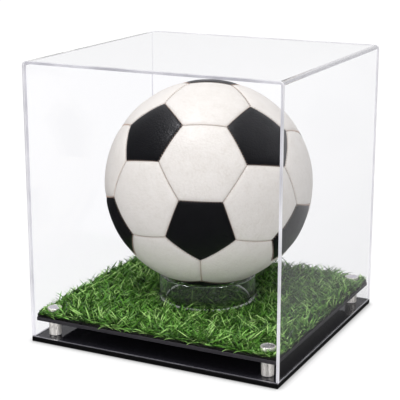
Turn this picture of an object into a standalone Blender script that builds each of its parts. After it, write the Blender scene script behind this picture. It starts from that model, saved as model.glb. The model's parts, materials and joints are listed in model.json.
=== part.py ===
"""A ball display case: a clear lift-off cover over a football, which sits on a ring above artificial turf.

Lengths are in metres and +Z is up. The origin is the centre of the base plate's underside.
"""

import math
import random

import bmesh
import bpy
from mathutils import Matrix, Vector

# Gaps between pieces that touch
SEAT_GAP = 0.0003
CUT_OVERRUN = 0.001

# Ball
BALL_DIAMETER = 0.220
PENTAGON_SIDES = 5
HEXAGON_SIDES = 6
PANEL_THICKNESS = 0.0024
SEAM_DEPTH = 0.0014
SEAM_SHARPNESS = 6
PANEL_EDGE_STEPS = 3
BLADDER_CLEARANCE = 0.0008
BLADDER_WALL = 0.0008
BLADDER_RINGS = 10
BLADDER_STEPS = 20
TRUNCATION_PERCENT = 100 / 3
FACING_YAW = math.radians(22.8)
FACING_PITCH = math.radians(25.2)
FACING_ROLL = math.radians(28.6)

# Valve of the ball
VALVE_DIAMETER = 0.0064
VALVE_LENGTH = 0.0085
VALVE_RECESS = 0.0003
VALVE_CHAMFER = 0.0004
NEEDLE_HOLE_DIAMETER = 0.0016
NEEDLE_HOLE_DEPTH = 0.004
VALVE_STEPS = 16

# Ring under the ball
RING_DIAMETER = 0.104
RING_WALL = 0.006
RING_HEIGHT = 0.027
RING_CHAMFER = 0.0005
RING_STEPS = 48

# Clear cover
SIDE_ROOM = 0.0273
FRONT_ROOM = 0.0218
HEADROOM = 0.026
SHEET_THICKNESS = 0.0032
BEND_INNER_RADIUS = 0.0013
BEND_STEPS = 5

# Base plate and riser plate
BASE_THICKNESS = 0.005
RISER_THICKNESS = 0.004
RISER_CLEARANCE = 0.0012
PLATE_BEVEL = 0.0004

# Standoffs: barrels, caps with studs, and screws from beneath
STANDOFF_DIAMETER = 0.0127
STANDOFF_INSET = 0.0138
STANDOFF_CHAMFER = 0.0005
STANDOFF_STEPS = 24
BARREL_LENGTH = 0.017
STUD_DIAMETER = 0.004
STUD_TIP_GAP = 0.004
CAP_THICKNESS = 0.006
SCREW_HEAD_DIAMETER = 0.008
SCREW_HEAD_RIM = 0.0003
SCREW_RECESS = 0.0005
SOCKET_ACROSS_CORNERS = 0.0029
SOCKET_DEPTH = 0.0012
SOCKET_SIDES = 6

# Turf
BACKING_THICKNESS = 0.0035
TURF_SETBACK = 0.0005
BLADE_COLUMNS = 21
BLADE_ROWS = 20
BLADE_SIDES = 3
BLADE_WIDTH = 0.002
BLADE_LENGTH = 0.0095
BLADE_ROOT = 0.0006
BLADE_CLEARANCE = 0.0008
BLADE_LEAN_X = 0.0035
BLADE_LEAN_Y = -0.0015
LENGTH_SPREAD_SHARE = 0.15
JITTER_SHARE = 0.18
LEAN_SPREAD_SHARE = 0.22
BLADE_BEND_POWER = 1.7
BLADE_KNEE_SHARE = 0.5
KNEE_WIDTH_SHARE = 0.85
BLADE_SAMPLES = 6
TURF_SEED = 7

# Heights, worked out from the base upwards
BARREL_BOTTOM = BASE_THICKNESS + SEAT_GAP
BARREL_TOP = BARREL_BOTTOM + BARREL_LENGTH
RISER_BOTTOM = BARREL_TOP + SEAT_GAP
RISER_TOP = RISER_BOTTOM + RISER_THICKNESS
TURF_BOTTOM = RISER_TOP + SEAT_GAP
TURF_TOP = TURF_BOTTOM + BACKING_THICKNESS
RING_BOTTOM = TURF_TOP + SEAT_GAP
RING_TOP = RING_BOTTOM + RING_HEIGHT
CAP_BOTTOM = TURF_TOP + SEAT_GAP
COVER_BOTTOM = BASE_THICKNESS + SEAT_GAP

# The ball rests on the outer edge of the ring's inner chamfer
BALL_RADIUS = BALL_DIAMETER / 2
RING_INNER_RADIUS = RING_DIAMETER / 2 - RING_WALL
SEAT_RADIUS = RING_INNER_RADIUS + RING_CHAMFER
BALL_CENTRE = RING_TOP + math.sqrt((BALL_RADIUS + SEAT_GAP) ** 2 - SEAT_RADIUS**2)

# Outer sizes of the case, worked out from the ball and the room round it
CASE_WIDTH = BALL_DIAMETER + 2 * (SIDE_ROOM + SHEET_THICKNESS)
CASE_DEPTH = BALL_DIAMETER + 2 * (FRONT_ROOM + SHEET_THICKNESS)
CASE_HEIGHT = BALL_CENTRE + BALL_RADIUS + HEADROOM + SHEET_THICKNESS
BEND_RADIUS = BEND_INNER_RADIUS + SHEET_THICKNESS

# Plan of the riser plate, the turf and the standoffs
RISER_WIDTH = CASE_WIDTH - 2 * (SHEET_THICKNESS + RISER_CLEARANCE)
RISER_DEPTH = CASE_DEPTH - 2 * (SHEET_THICKNESS + RISER_CLEARANCE)
TURF_WIDTH = RISER_WIDTH - 2 * TURF_SETBACK
TURF_DEPTH = RISER_DEPTH - 2 * TURF_SETBACK
STANDOFF_X = RISER_WIDTH / 2 - STANDOFF_INSET
STANDOFF_Y = RISER_DEPTH / 2 - STANDOFF_INSET
STANDOFF_RADIUS = STANDOFF_DIAMETER / 2
STUD_RADIUS = STUD_DIAMETER / 2
BORE_RADIUS = STUD_RADIUS + SEAT_GAP
STUD_ENGAGEMENT = (BARREL_LENGTH - STUD_TIP_GAP) / 2

# A truncated icosahedron's edge is its circumradius over this ratio
EDGE_RATIO = math.sqrt(58 + 18 * math.sqrt(5)) / 4
PANEL_EDGE = BALL_RADIUS / EDGE_RATIO
BLADDER_RADIUS = BALL_RADIUS - SEAM_DEPTH - PANEL_THICKNESS - BLADDER_CLEARANCE

SMOOTH_ANGLE = math.radians(35)


def clear_scene():
    """Remove every object, so that the scene holds only the model."""
    for obj in list(bpy.data.objects):
        bpy.data.objects.remove(obj, do_unlink=True)


def new_collection(name):
    """Add a collection to the scene."""
    collection = bpy.data.collections.new(name)
    bpy.context.scene.collection.children.link(collection)
    return collection


def new_material(name, colour, roughness, metallic=0.0, alpha=1.0):
    """Make a Principled material from a linear colour."""
    material = bpy.data.materials.new(name)
    material.use_nodes = True
    shader = material.node_tree.nodes["Principled BSDF"]
    shader.inputs["Base Color"].default_value = (*colour, 1.0)
    shader.inputs["Roughness"].default_value = roughness
    shader.inputs["Metallic"].default_value = metallic
    shader.inputs["Alpha"].default_value = alpha
    material.diffuse_color = (*colour, alpha)
    return material


def clear_acrylic(name):
    """Polished clear acrylic sheet."""
    return new_material(name, colour=(0.86, 0.87, 0.90), roughness=0.03, alpha=0.22)


def black_acrylic(name):
    """Gloss black acrylic sheet."""
    return new_material(name, colour=(0.008, 0.008, 0.010), roughness=0.06)


def satin_steel(name):
    """Brushed steel with a warm grey tone."""
    return new_material(name, colour=(0.56, 0.55, 0.52), roughness=0.32, metallic=1.0)


def turf_green(name):
    """Green polyethylene blades."""
    return new_material(name, colour=(0.06, 0.19, 0.02), roughness=0.55)


def white_panel(name):
    """Off-white synthetic leather."""
    return new_material(name, colour=(0.78, 0.76, 0.72), roughness=0.45)


def black_panel(name):
    """Black synthetic leather."""
    return new_material(name, colour=(0.010, 0.010, 0.013), roughness=0.40)


def rubber(name):
    """Dark butyl rubber."""
    return new_material(name, colour=(0.03, 0.03, 0.03), roughness=0.80)


def add_object(name, mesh, collection, material=None):
    """Link a mesh to the scene as an object, with its material."""
    obj = bpy.data.objects.new(name, mesh)
    collection.objects.link(obj)
    if material is not None:
        mesh.materials.append(material)
    return obj


def add_empty(name, collection, location):
    """Add an empty on a joint's axis, for the moving pieces to hang from."""
    empty = bpy.data.objects.new(name, None)
    empty.location = location
    collection.objects.link(empty)
    return empty


def mesh_from(bm, name):
    """Turn a bmesh into mesh data and free it."""
    mesh = bpy.data.meshes.new(name)
    bm.to_mesh(mesh)
    bm.free()
    return mesh


def apply_modifiers(obj):
    """Replace an object's mesh by its modified one, shaded smooth where it is round."""
    graph = bpy.context.evaluated_depsgraph_get()
    mesh = bpy.data.meshes.new_from_object(obj.evaluated_get(graph))
    mesh.name = obj.name
    obj.modifiers.clear()
    obj.data = mesh
    mesh.shade_smooth()
    mesh.set_sharp_from_angle(angle=SMOOTH_ANGLE)


def box(name, size, centre, collection, material=None):
    """A box of the given size, as a scaled unit cube."""
    bm = bmesh.new()
    bmesh.ops.create_cube(bm, size=1, matrix=Matrix.Diagonal((*size, 1)))
    obj = add_object(name, mesh_from(bm, name), collection, material)
    obj.location = centre
    return obj


def turned(name, profile, closed, steps, collection, material=None):
    """A solid of revolution about Z. The profile's outer side runs from top to bottom."""
    mesh = bpy.data.meshes.new(name)
    points = [(radius, 0, height) for radius, height in profile]
    edges = [(i, i + 1) for i in range(len(points) - 1)]
    if closed:
        edges.append((len(points) - 1, 0))
    mesh.from_pydata(points, edges, [])
    obj = add_object(name, mesh, collection, material)
    screw = obj.modifiers.new("Turn", "SCREW")
    screw.steps = steps
    screw.render_steps = steps
    screw.use_merge_vertices = True
    screw.merge_threshold = SEAT_GAP / 100
    apply_modifiers(obj)
    return obj


def cut(obj, cutter):
    """Cut one solid from another."""
    modifier = obj.modifiers.new("Cut", "BOOLEAN")
    modifier.operation = "DIFFERENCE"
    modifier.object = cutter
    cutter.hide_render = True
    cutter.display_type = "WIRE"


def arc(centre, radius, start, end, steps):
    """Points on an arc, from one angle to another."""
    for i in range(steps + 1):
        angle = start + (end - start) * i / steps
        yield centre + radius * Vector((math.cos(angle), math.sin(angle)))


def standoff_places():
    """The four standoffs, numbered from front left round to back left."""
    sides = ((-1, -1), (1, -1), (1, 1), (-1, 1))
    return [(x * STANDOFF_X, y * STANDOFF_Y) for x, y in sides]


def copies(source, base_name, places, collection):
    """Put one object of a shared mesh at each place, and drop the source."""
    for number, (x, y) in enumerate(places, start=1):
        copy = bpy.data.objects.new(f"{base_name}_{number}", source.data)
        copy.location = (x, y, 0)
        collection.objects.link(copy)
    bpy.data.objects.remove(source)


def drill(obj, radius, places, cutters):
    """Cut a round through-hole at each place."""
    reach = obj.dimensions.z + 2 * CUT_OVERRUN
    for number, (x, y) in enumerate(places, start=1):
        bm = bmesh.new()
        bmesh.ops.create_cone(
            bm, cap_ends=True, segments=STANDOFF_STEPS, radius1=radius, radius2=radius, depth=reach
        )
        name = f"{obj.name}_hole_{number}"
        cutter = add_object(name, mesh_from(bm, name), cutters)
        cutter.location = (x, y, obj.location.z)
        cut(obj, cutter)


def screw_head_levels():
    """Heights of the screw head's underside, the start of its cone, and the cone's end."""
    underside = SCREW_RECESS
    cone_start = underside + SCREW_HEAD_RIM
    cone_end = cone_start + (SCREW_HEAD_DIAMETER - STUD_DIAMETER) / 2
    return underside, cone_start, cone_end


def base_plate(parts, cutters):
    """Black plate, with a countersunk hole under each standoff."""
    size = (CASE_WIDTH, CASE_DEPTH, BASE_THICKNESS)
    plate = box("base_plate", size, (0, 0, BASE_THICKNESS / 2), parts, black_acrylic("base_black_acrylic"))
    bevel = plate.modifiers.new("Edges", "BEVEL")
    bevel.width = PLATE_BEVEL
    bevel.segments = 1
    _, cone_start, cone_end = screw_head_levels()
    head_radius = SCREW_HEAD_DIAMETER / 2 + SEAT_GAP
    profile = [
        (0, BASE_THICKNESS + CUT_OVERRUN),
        (BORE_RADIUS, BASE_THICKNESS + CUT_OVERRUN),
        (BORE_RADIUS, cone_end),
        (head_radius, cone_start),
        (head_radius, -CUT_OVERRUN),
        (0, -CUT_OVERRUN),
    ]
    for number, (x, y) in enumerate(standoff_places(), start=1):
        name = f"countersink_{number}"
        cutter = turned(name, profile, False, STANDOFF_STEPS, cutters)
        cutter.location = (x, y, 0)
        cut(plate, cutter)


def base_screws(parts, cutters):
    """Countersunk screws that hold the standoff barrels from beneath."""
    underside, cone_start, cone_end = screw_head_levels()
    tip = BARREL_BOTTOM + STUD_ENGAGEMENT
    head_radius = SCREW_HEAD_DIAMETER / 2
    profile = [
        (0, tip),
        (STUD_RADIUS - STANDOFF_CHAMFER, tip),
        (STUD_RADIUS, tip - STANDOFF_CHAMFER),
        (STUD_RADIUS, cone_end),
        (head_radius, cone_start),
        (head_radius, underside),
        (0, underside),
    ]
    steel = satin_steel("screw_steel")
    screw = turned("base_screw", profile, False, STANDOFF_STEPS, parts, steel)
    bm = bmesh.new()
    radius = SOCKET_ACROSS_CORNERS / 2
    bmesh.ops.create_cone(
        bm,
        cap_ends=True,
        segments=SOCKET_SIDES,
        radius1=radius,
        radius2=radius,
        depth=2 * SOCKET_DEPTH,
        matrix=Matrix.Translation((0, 0, underside)),
    )
    cut(screw, add_object("socket", mesh_from(bm, "socket"), cutters))
    apply_modifiers(screw)
    copies(screw, "base_screw", standoff_places(), parts)


def standoff_barrels(parts):
    """Turned metal barrels with a through bore."""
    chamfer = STANDOFF_CHAMFER
    profile = [
        (STANDOFF_RADIUS - chamfer, BARREL_TOP),
        (STANDOFF_RADIUS, BARREL_TOP - chamfer),
        (STANDOFF_RADIUS, BARREL_BOTTOM + chamfer),
        (STANDOFF_RADIUS - chamfer, BARREL_BOTTOM),
        (BORE_RADIUS + chamfer, BARREL_BOTTOM),
        (BORE_RADIUS, BARREL_BOTTOM + chamfer),
        (BORE_RADIUS, BARREL_TOP - chamfer),
        (BORE_RADIUS + chamfer, BARREL_TOP),
    ]
    steel = satin_steel("barrel_steel")
    barrel = turned("barrel", profile, True, STANDOFF_STEPS, parts, steel)
    copies(barrel, "standoff_barrel", standoff_places(), parts)


def standoff_caps(parts):
    """Caps on the turf, each with a stud that runs down into its barrel."""
    chamfer = STANDOFF_CHAMFER
    top = CAP_BOTTOM + CAP_THICKNESS
    tip = BARREL_TOP - STUD_ENGAGEMENT
    profile = [
        (0, top),
        (STANDOFF_RADIUS - chamfer, top),
        (STANDOFF_RADIUS, top - chamfer),
        (STANDOFF_RADIUS, CAP_BOTTOM),
        (STUD_RADIUS, CAP_BOTTOM),
        (STUD_RADIUS, tip + chamfer),
        (STUD_RADIUS - chamfer, tip),
        (0, tip),
    ]
    steel = satin_steel("cap_steel")
    cap = turned("cap", profile, False, STANDOFF_STEPS, parts, steel)
    copies(cap, "standoff_cap", standoff_places(), parts)


def riser_plate(parts, cutters):
    """Black plate on the standoffs. It also keeps the cover in place."""
    size = (RISER_WIDTH, RISER_DEPTH, RISER_THICKNESS)
    centre = (0, 0, RISER_BOTTOM + RISER_THICKNESS / 2)
    plate = box("riser_plate", size, centre, parts, black_acrylic("riser_black_acrylic"))
    bevel = plate.modifiers.new("Edges", "BEVEL")
    bevel.width = PLATE_BEVEL
    bevel.segments = 1
    drill(plate, BORE_RADIUS, standoff_places(), cutters)


def blade_template():
    """One three-sided blade of unit length and width, with a knee, pointed at the top."""
    bm = bmesh.new()
    bmesh.ops.create_cone(
        bm,
        cap_ends=True,
        segments=BLADE_SIDES,
        radius1=1 / 2,
        radius2=0,
        depth=1,
        matrix=Matrix.Translation((0, 0, 1 / 2)),
    )
    knee = Vector((0, 0, BLADE_KNEE_SHARE))
    geometry = bm.verts[:] + bm.edges[:] + bm.faces[:]
    bmesh.ops.bisect_plane(bm, geom=geometry, plane_co=knee, plane_no=(0, 0, 1))
    for vert in bm.verts:
        if math.isclose(vert.co.z, BLADE_KNEE_SHARE, abs_tol=1 / 100):
            widen = KNEE_WIDTH_SHARE / (1 - BLADE_KNEE_SHARE)
            vert.co.x *= widen
            vert.co.y *= widen
    return mesh_from(bm, "blade")


def clear_of_fittings(points):
    """Whether a blade through these points stays clear of the ring's wall and the standoff caps."""
    keep = BLADE_WIDTH / 2 + BLADE_CLEARANCE
    for x, y in points:
        if RING_INNER_RADIUS - keep < math.hypot(x, y) < RING_DIAMETER / 2 + keep:
            return False
        for cap_x, cap_y in standoff_places():
            if math.hypot(x - cap_x, y - cap_y) < STANDOFF_RADIUS + keep:
                return False
    return True


def room_under_ball(x, y):
    """Free height over the turf's backing at a place, under the ball or beside it."""
    reach = math.hypot(x, y)
    if reach >= BALL_RADIUS:
        return math.inf
    return BALL_CENTRE - math.sqrt(BALL_RADIUS**2 - reach**2) - BLADE_CLEARANCE - TURF_TOP


def blade_plans():
    """Root, lean, length and turn of each blade. All lean one way, and each keeps to its own cell."""
    rng = random.Random(TURF_SEED)
    pitch_x = TURF_WIDTH / BLADE_COLUMNS
    pitch_y = TURF_DEPTH / BLADE_ROWS
    edge_x = TURF_WIDTH / 2 - BLADE_WIDTH / 2
    edge_y = TURF_DEPTH / 2 - BLADE_WIDTH / 2
    for column in range(BLADE_COLUMNS):
        for row in range(BLADE_ROWS):
            root_x = (column + 1 / 2 + rng.uniform(-1, 1) * JITTER_SHARE) * pitch_x - TURF_WIDTH / 2
            root_y = (row + 1 / 2 + rng.uniform(-1, 1) * JITTER_SHARE) * pitch_y - TURF_DEPTH / 2
            tip_x = root_x + BLADE_LEAN_X + rng.uniform(-1, 1) * LEAN_SPREAD_SHARE * pitch_x
            tip_y = root_y + BLADE_LEAN_Y + rng.uniform(-1, 1) * LEAN_SPREAD_SHARE * pitch_y
            lean_x = min(max(tip_x, -edge_x), edge_x) - root_x
            lean_y = min(max(tip_y, -edge_y), edge_y) - root_y
            length = BLADE_LENGTH * (1 + rng.uniform(-1, 1) * LENGTH_SPREAD_SHARE)
            turn = rng.uniform(0, math.tau)
            shares = [i / (BLADE_SAMPLES - 1) for i in range(BLADE_SAMPLES)]
            course = [(root_x + lean_x * share, root_y + lean_y * share) for share in shares]
            length = min(length, *(room_under_ball(x, y) for x, y in course))
            if clear_of_fittings(course) and length > BLADE_WIDTH:
                yield root_x, root_y, lean_x, lean_y, length, turn


def turf_blades(cutters):
    """All blades in one mesh, each bent over along its lean. None crosses another."""
    template = blade_template()
    blades = bmesh.new()
    for root_x, root_y, lean_x, lean_y, length, turn in blade_plans():
        first = len(blades.verts)
        blades.from_mesh(template)
        blades.verts.ensure_lookup_table()
        spin = Matrix.Rotation(turn, 3, "Z")
        for vert in blades.verts[first:]:
            share = vert.co.z
            place = spin @ Vector((vert.co.x * BLADE_WIDTH, vert.co.y * BLADE_WIDTH, 0))
            bend = share**BLADE_BEND_POWER
            vert.co.x = root_x + place.x + lean_x * bend
            vert.co.y = root_y + place.y + lean_y * bend
            vert.co.z = TURF_TOP - BLADE_ROOT + (length + BLADE_ROOT) * share
    bpy.data.meshes.remove(template)
    obj = add_object("blades", mesh_from(blades, "blades"), cutters)
    obj.hide_render = True
    obj.display_type = "WIRE"
    return obj


def turf_mat(parts, cutters):
    """The backing with its blades fused to it, drilled for the standoff studs."""
    size = (TURF_WIDTH, TURF_DEPTH, BACKING_THICKNESS)
    centre = (0, 0, TURF_BOTTOM + BACKING_THICKNESS / 2)
    mat = box("turf_mat", size, centre, parts, turf_green("turf_polyethylene"))
    drill(mat, BORE_RADIUS, standoff_places(), cutters)
    fuse = mat.modifiers.new("Blades", "BOOLEAN")
    fuse.operation = "UNION"
    fuse.object = turf_blades(cutters)


def ball_ring(parts):
    """Clear ring that the ball sits in, with broken edges."""
    outer = RING_DIAMETER / 2
    inner = RING_INNER_RADIUS
    chamfer = RING_CHAMFER
    profile = [
        (outer - chamfer, RING_TOP),
        (outer, RING_TOP - chamfer),
        (outer, RING_BOTTOM + chamfer),
        (outer - chamfer, RING_BOTTOM),
        (inner + chamfer, RING_BOTTOM),
        (inner, RING_BOTTOM + chamfer),
        (inner, RING_TOP - chamfer),
        (inner + chamfer, RING_TOP),
    ]
    turned("ball_ring", profile, True, RING_STEPS, parts, clear_acrylic("ring_acrylic"))


def cover_wrap(parts, slide):
    """One sheet bent over the left side, the top and the right side."""
    half = CASE_WIDTH / 2
    bend_height = CASE_HEIGHT - BEND_RADIUS
    left = Vector((BEND_RADIUS - half, bend_height))
    right = Vector((half - BEND_RADIUS, bend_height))
    outline = [Vector((-half, COVER_BOTTOM))]
    outline += arc(left, BEND_RADIUS, math.pi, math.pi / 2, BEND_STEPS)
    outline += arc(right, BEND_RADIUS, math.pi / 2, 0, BEND_STEPS)
    outline.append(Vector((half, COVER_BOTTOM)))
    depth = CASE_DEPTH - 2 * (SHEET_THICKNESS + SEAT_GAP)
    bm = bmesh.new()
    verts = [bm.verts.new((point.x, -depth / 2, point.y)) for point in outline]
    edges = [bm.edges.new(pair) for pair in zip(verts, verts[1:])]
    swept = bmesh.ops.extrude_edge_only(bm, edges=edges)["geom"]
    moved = [item for item in swept if isinstance(item, bmesh.types.BMVert)]
    bmesh.ops.translate(bm, vec=(0, depth, 0), verts=moved)
    top = max(bm.faces, key=lambda face: face.calc_center_median().z)
    bmesh.ops.recalc_face_normals(bm, faces=bm.faces)
    if top.normal.z < 0:
        bmesh.ops.reverse_faces(bm, faces=bm.faces)
    wrap = add_object("cover_wrap", mesh_from(bm, "cover_wrap"), parts, clear_acrylic("cover_acrylic"))
    wall = wrap.modifiers.new("Sheet", "SOLIDIFY")
    wall.thickness = SHEET_THICKNESS
    wall.offset = -1
    wall.use_even_offset = True
    apply_modifiers(wrap)
    wrap.parent = slide


def cover_panel(name, y, parts, slide):
    """A flat end panel, with its top corners rounded to match the bends."""
    half = CASE_WIDTH / 2
    bend_height = CASE_HEIGHT - BEND_RADIUS
    outline = [Vector((-half, COVER_BOTTOM)), Vector((half, COVER_BOTTOM))]
    outline += arc(Vector((half - BEND_RADIUS, bend_height)), BEND_RADIUS, 0, math.pi / 2, BEND_STEPS)
    outline += arc(Vector((BEND_RADIUS - half, bend_height)), BEND_RADIUS, math.pi / 2, math.pi, BEND_STEPS)
    curve = bpy.data.curves.new(name, "CURVE")
    curve.dimensions = "2D"
    curve.fill_mode = "BOTH"
    curve.extrude = SHEET_THICKNESS / 2
    spline = curve.splines.new("POLY")
    spline.points.add(len(outline) - 1)
    spline.use_cyclic_u = True
    for point, place in zip(spline.points, outline):
        point.co = (place.x, place.y, 0, 1)
    curve.materials.append(clear_acrylic(f"{name}_acrylic"))
    panel = bpy.data.objects.new(name, curve)
    panel.rotation_euler = (math.pi / 2, 0, 0)
    panel.location = (0, y, 0)
    parts.objects.link(panel)
    panel.parent = slide


def cover(parts):
    """The whole cover, which slides straight up off the base."""
    slide = add_empty("cover_slide", parts, (0, 0, 0))
    cover_wrap(parts, slide)
    end = CASE_DEPTH / 2 - SHEET_THICKNESS / 2
    cover_panel("cover_front", -end, parts, slide)
    cover_panel("cover_back", end, parts, slide)


def panel_mesh(name, sides, material):
    """A puffed spherical panel about +Z, with a corner towards +Y, drawn in along its seams."""
    corner_radius = PANEL_EDGE / (2 * math.sin(math.pi / sides))
    apothem = corner_radius * math.cos(math.pi / sides)
    height = math.sqrt(BALL_RADIUS**2 - corner_radius**2)
    shrink = 1 - SEAT_GAP / (2 * apothem)
    edge_directions = [
        Vector((math.sin(angle), math.cos(angle)))
        for angle in [(i + 1 / 2) * math.tau / sides for i in range(sides)]
    ]
    bm = bmesh.new()
    lift = Matrix.Translation((0, 0, height))
    bmesh.ops.create_circle(bm, cap_ends=True, segments=sides, radius=corner_radius * shrink, matrix=lift)
    bmesh.ops.poke(bm, faces=bm.faces)
    bmesh.ops.subdivide_edges(bm, edges=bm.edges, cuts=PANEL_EDGE_STEPS - 1, use_grid_fill=True)
    for vert in bm.verts:
        reach = max(direction.dot(vert.co.xy) for direction in edge_directions) / apothem
        vert.co = vert.co.normalized() * (BALL_RADIUS - SEAM_DEPTH * reach**SEAM_SHARPNESS)
    inner = bmesh.ops.extrude_face_region(bm, geom=bm.faces)["geom"]
    for item in inner:
        if isinstance(item, bmesh.types.BMVert):
            item.co = item.co.normalized() * (item.co.length - PANEL_THICKNESS)
    bmesh.ops.recalc_face_normals(bm, faces=bm.faces)
    mesh = mesh_from(bm, name)
    mesh.materials.append(material)
    mesh.shade_smooth()
    mesh.set_sharp_from_angle(angle=SMOOTH_ANGLE)
    return mesh


def frame_corner(face):
    """The corner that a panel's frame points to: on a hexagon, one whose next edge meets a pentagon."""
    for loop in face.loops:
        if any(len(neighbour.verts) == PENTAGON_SIDES for neighbour in loop.edge.link_faces):
            return loop.vert.co


def panel_frames():
    """A rotation for each face of a truncated icosahedron, in lists keyed by the number of sides."""
    bm = bmesh.new()
    bmesh.ops.create_icosphere(bm, subdivisions=1, radius=1)
    bmesh.ops.bevel(
        bm,
        geom=bm.verts[:],
        offset=TRUNCATION_PERCENT,
        offset_type="PERCENT",
        segments=1,
        affect="VERTICES",
    )
    frames = {PENTAGON_SIDES: [], HEXAGON_SIDES: []}
    for face in bm.faces:
        centre = face.calc_center_median()
        z_axis = centre.normalized()
        y_axis = (frame_corner(face) - centre).normalized()
        x_axis = y_axis.cross(z_axis)
        frames[len(face.verts)].append(Matrix((x_axis, y_axis, z_axis)).transposed())
    bm.free()
    return frames


def facing_rotation(frame):
    """The turn that brings one panel's frame to face the front of the case."""
    aim = (
        Matrix.Rotation(FACING_YAW, 3, "Z")
        @ Matrix.Rotation(math.pi / 2 - FACING_PITCH, 3, "X")
        @ Matrix.Rotation(FACING_ROLL, 3, "Z")
    )
    return aim @ frame.inverted()


def panel_set(name, sides, material, rotations, parts, axis):
    """One panel for each rotation, all of the same mesh."""
    mesh = panel_mesh(name, sides, material)
    panels = []
    for number, rotation in enumerate(rotations, start=1):
        panel = bpy.data.objects.new(f"{name}_{number:02d}", mesh)
        panel.rotation_euler = rotation.to_euler()
        panel.parent = axis
        parts.objects.link(panel)
        panels.append(panel)
    return panels


def ball_panels(parts, axis):
    """Twelve black pentagons and twenty white hexagons. Returns the hexagon at the back, for the valve."""
    frames = panel_frames()
    turn = facing_rotation(frames[HEXAGON_SIDES][0])
    rotations = {sides: [turn @ frame for frame in frames[sides]] for sides in frames}
    black = black_panel("ball_black")
    white = white_panel("ball_white")
    panel_set("ball_pentagon", PENTAGON_SIDES, black, rotations[PENTAGON_SIDES], parts, axis)
    hexagons = panel_set("ball_hexagon", HEXAGON_SIDES, white, rotations[HEXAGON_SIDES], parts, axis)
    facing = rotations[HEXAGON_SIDES][0].col[2]
    depths = [rotation.col[2].dot(facing) for rotation in rotations[HEXAGON_SIDES]]
    return hexagons[depths.index(min(depths))]


def ball_valve(parts, cutters, axis, panel):
    """Rubber valve through the rear hexagon, with a needle hole, and the hole that it sits in."""
    top = BALL_RADIUS - VALVE_RECESS
    radius = VALVE_DIAMETER / 2
    needle = NEEDLE_HOLE_DIAMETER / 2
    profile = [
        (0, top - NEEDLE_HOLE_DEPTH),
        (needle, top - NEEDLE_HOLE_DEPTH),
        (needle, top),
        (radius - VALVE_CHAMFER, top),
        (radius, top - VALVE_CHAMFER),
        (radius, top - VALVE_LENGTH),
        (0, top - VALVE_LENGTH),
    ]
    valve = turned("ball_valve", profile, False, VALVE_STEPS, parts, rubber("valve_rubber"))
    valve.rotation_euler = panel.rotation_euler
    valve.parent = axis
    bm = bmesh.new()
    hole_radius = radius + SEAT_GAP
    bmesh.ops.create_cone(
        bm,
        cap_ends=True,
        segments=VALVE_STEPS,
        radius1=hole_radius,
        radius2=hole_radius,
        depth=BALL_RADIUS,
        matrix=Matrix.Translation((0, 0, BALL_RADIUS)),
    )
    cutter = add_object("valve_hole", mesh_from(bm, "valve_hole"), cutters)
    cutter.rotation_euler = panel.rotation_euler
    cutter.parent = axis
    panel.data = panel.data.copy()
    cut(panel, cutter)


def ball_bladder(parts, axis, panel):
    """Thin rubber bladder, open at its neck round the valve."""
    neck = math.asin((VALVE_DIAMETER / 2 + SEAT_GAP) / BLADDER_RADIUS)
    angles = [neck + (math.pi - neck) * i / BLADDER_RINGS for i in range(BLADDER_RINGS)]
    inner_radius = BLADDER_RADIUS - BLADDER_WALL
    inner = [(inner_radius * math.sin(angle), inner_radius * math.cos(angle)) for angle in angles]
    outer = [(BLADDER_RADIUS * math.sin(angle), BLADDER_RADIUS * math.cos(angle)) for angle in angles]
    profile = [(0, -inner_radius), *reversed(inner), *outer, (0, -BLADDER_RADIUS)]
    bladder = turned("ball_bladder", profile, False, BLADDER_STEPS, parts, rubber("bladder_rubber"))
    bladder.rotation_euler = panel.rotation_euler
    bladder.parent = axis


def ball(parts, cutters):
    """The ball, which turns about the vertical through its ring."""
    axis = add_empty("ball_axis", parts, (0, 0, BALL_CENTRE))
    rear_panel = ball_panels(parts, axis)
    ball_valve(parts, cutters, axis, rear_panel)
    ball_bladder(parts, axis, rear_panel)


def main():
    """Build the case from the base up."""
    clear_scene()
    parts = new_collection("ball_display_case")
    cutters = new_collection("cutters")
    base_plate(parts, cutters)
    base_screws(parts, cutters)
    standoff_barrels(parts)
    riser_plate(parts, cutters)
    turf_mat(parts, cutters)
    standoff_caps(parts)
    ball_ring(parts)
    ball(parts, cutters)
    cover(parts)


main()
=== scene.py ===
"""Dresses the ball display case: a clear lift-off cover over a stitched ball on a ring above artificial turf.

Lengths are in metres in the CAD model's own frame: +Z is up and the front panel faces -Y.
"""

import json
import logging
import math
from collections.abc import Callable, Iterable
from dataclasses import dataclass, field
from enum import Enum, IntEnum
from functools import partial
from itertools import combinations

import bmesh
import bpy
import numpy as np
from bmesh.types import BMEdge, BMFace
from bpy.types import Collection, Material, Node, NodeSocket, NodeTree, Object
from mathutils import Matrix, Vector
from numpy.random import Generator, default_rng

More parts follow.
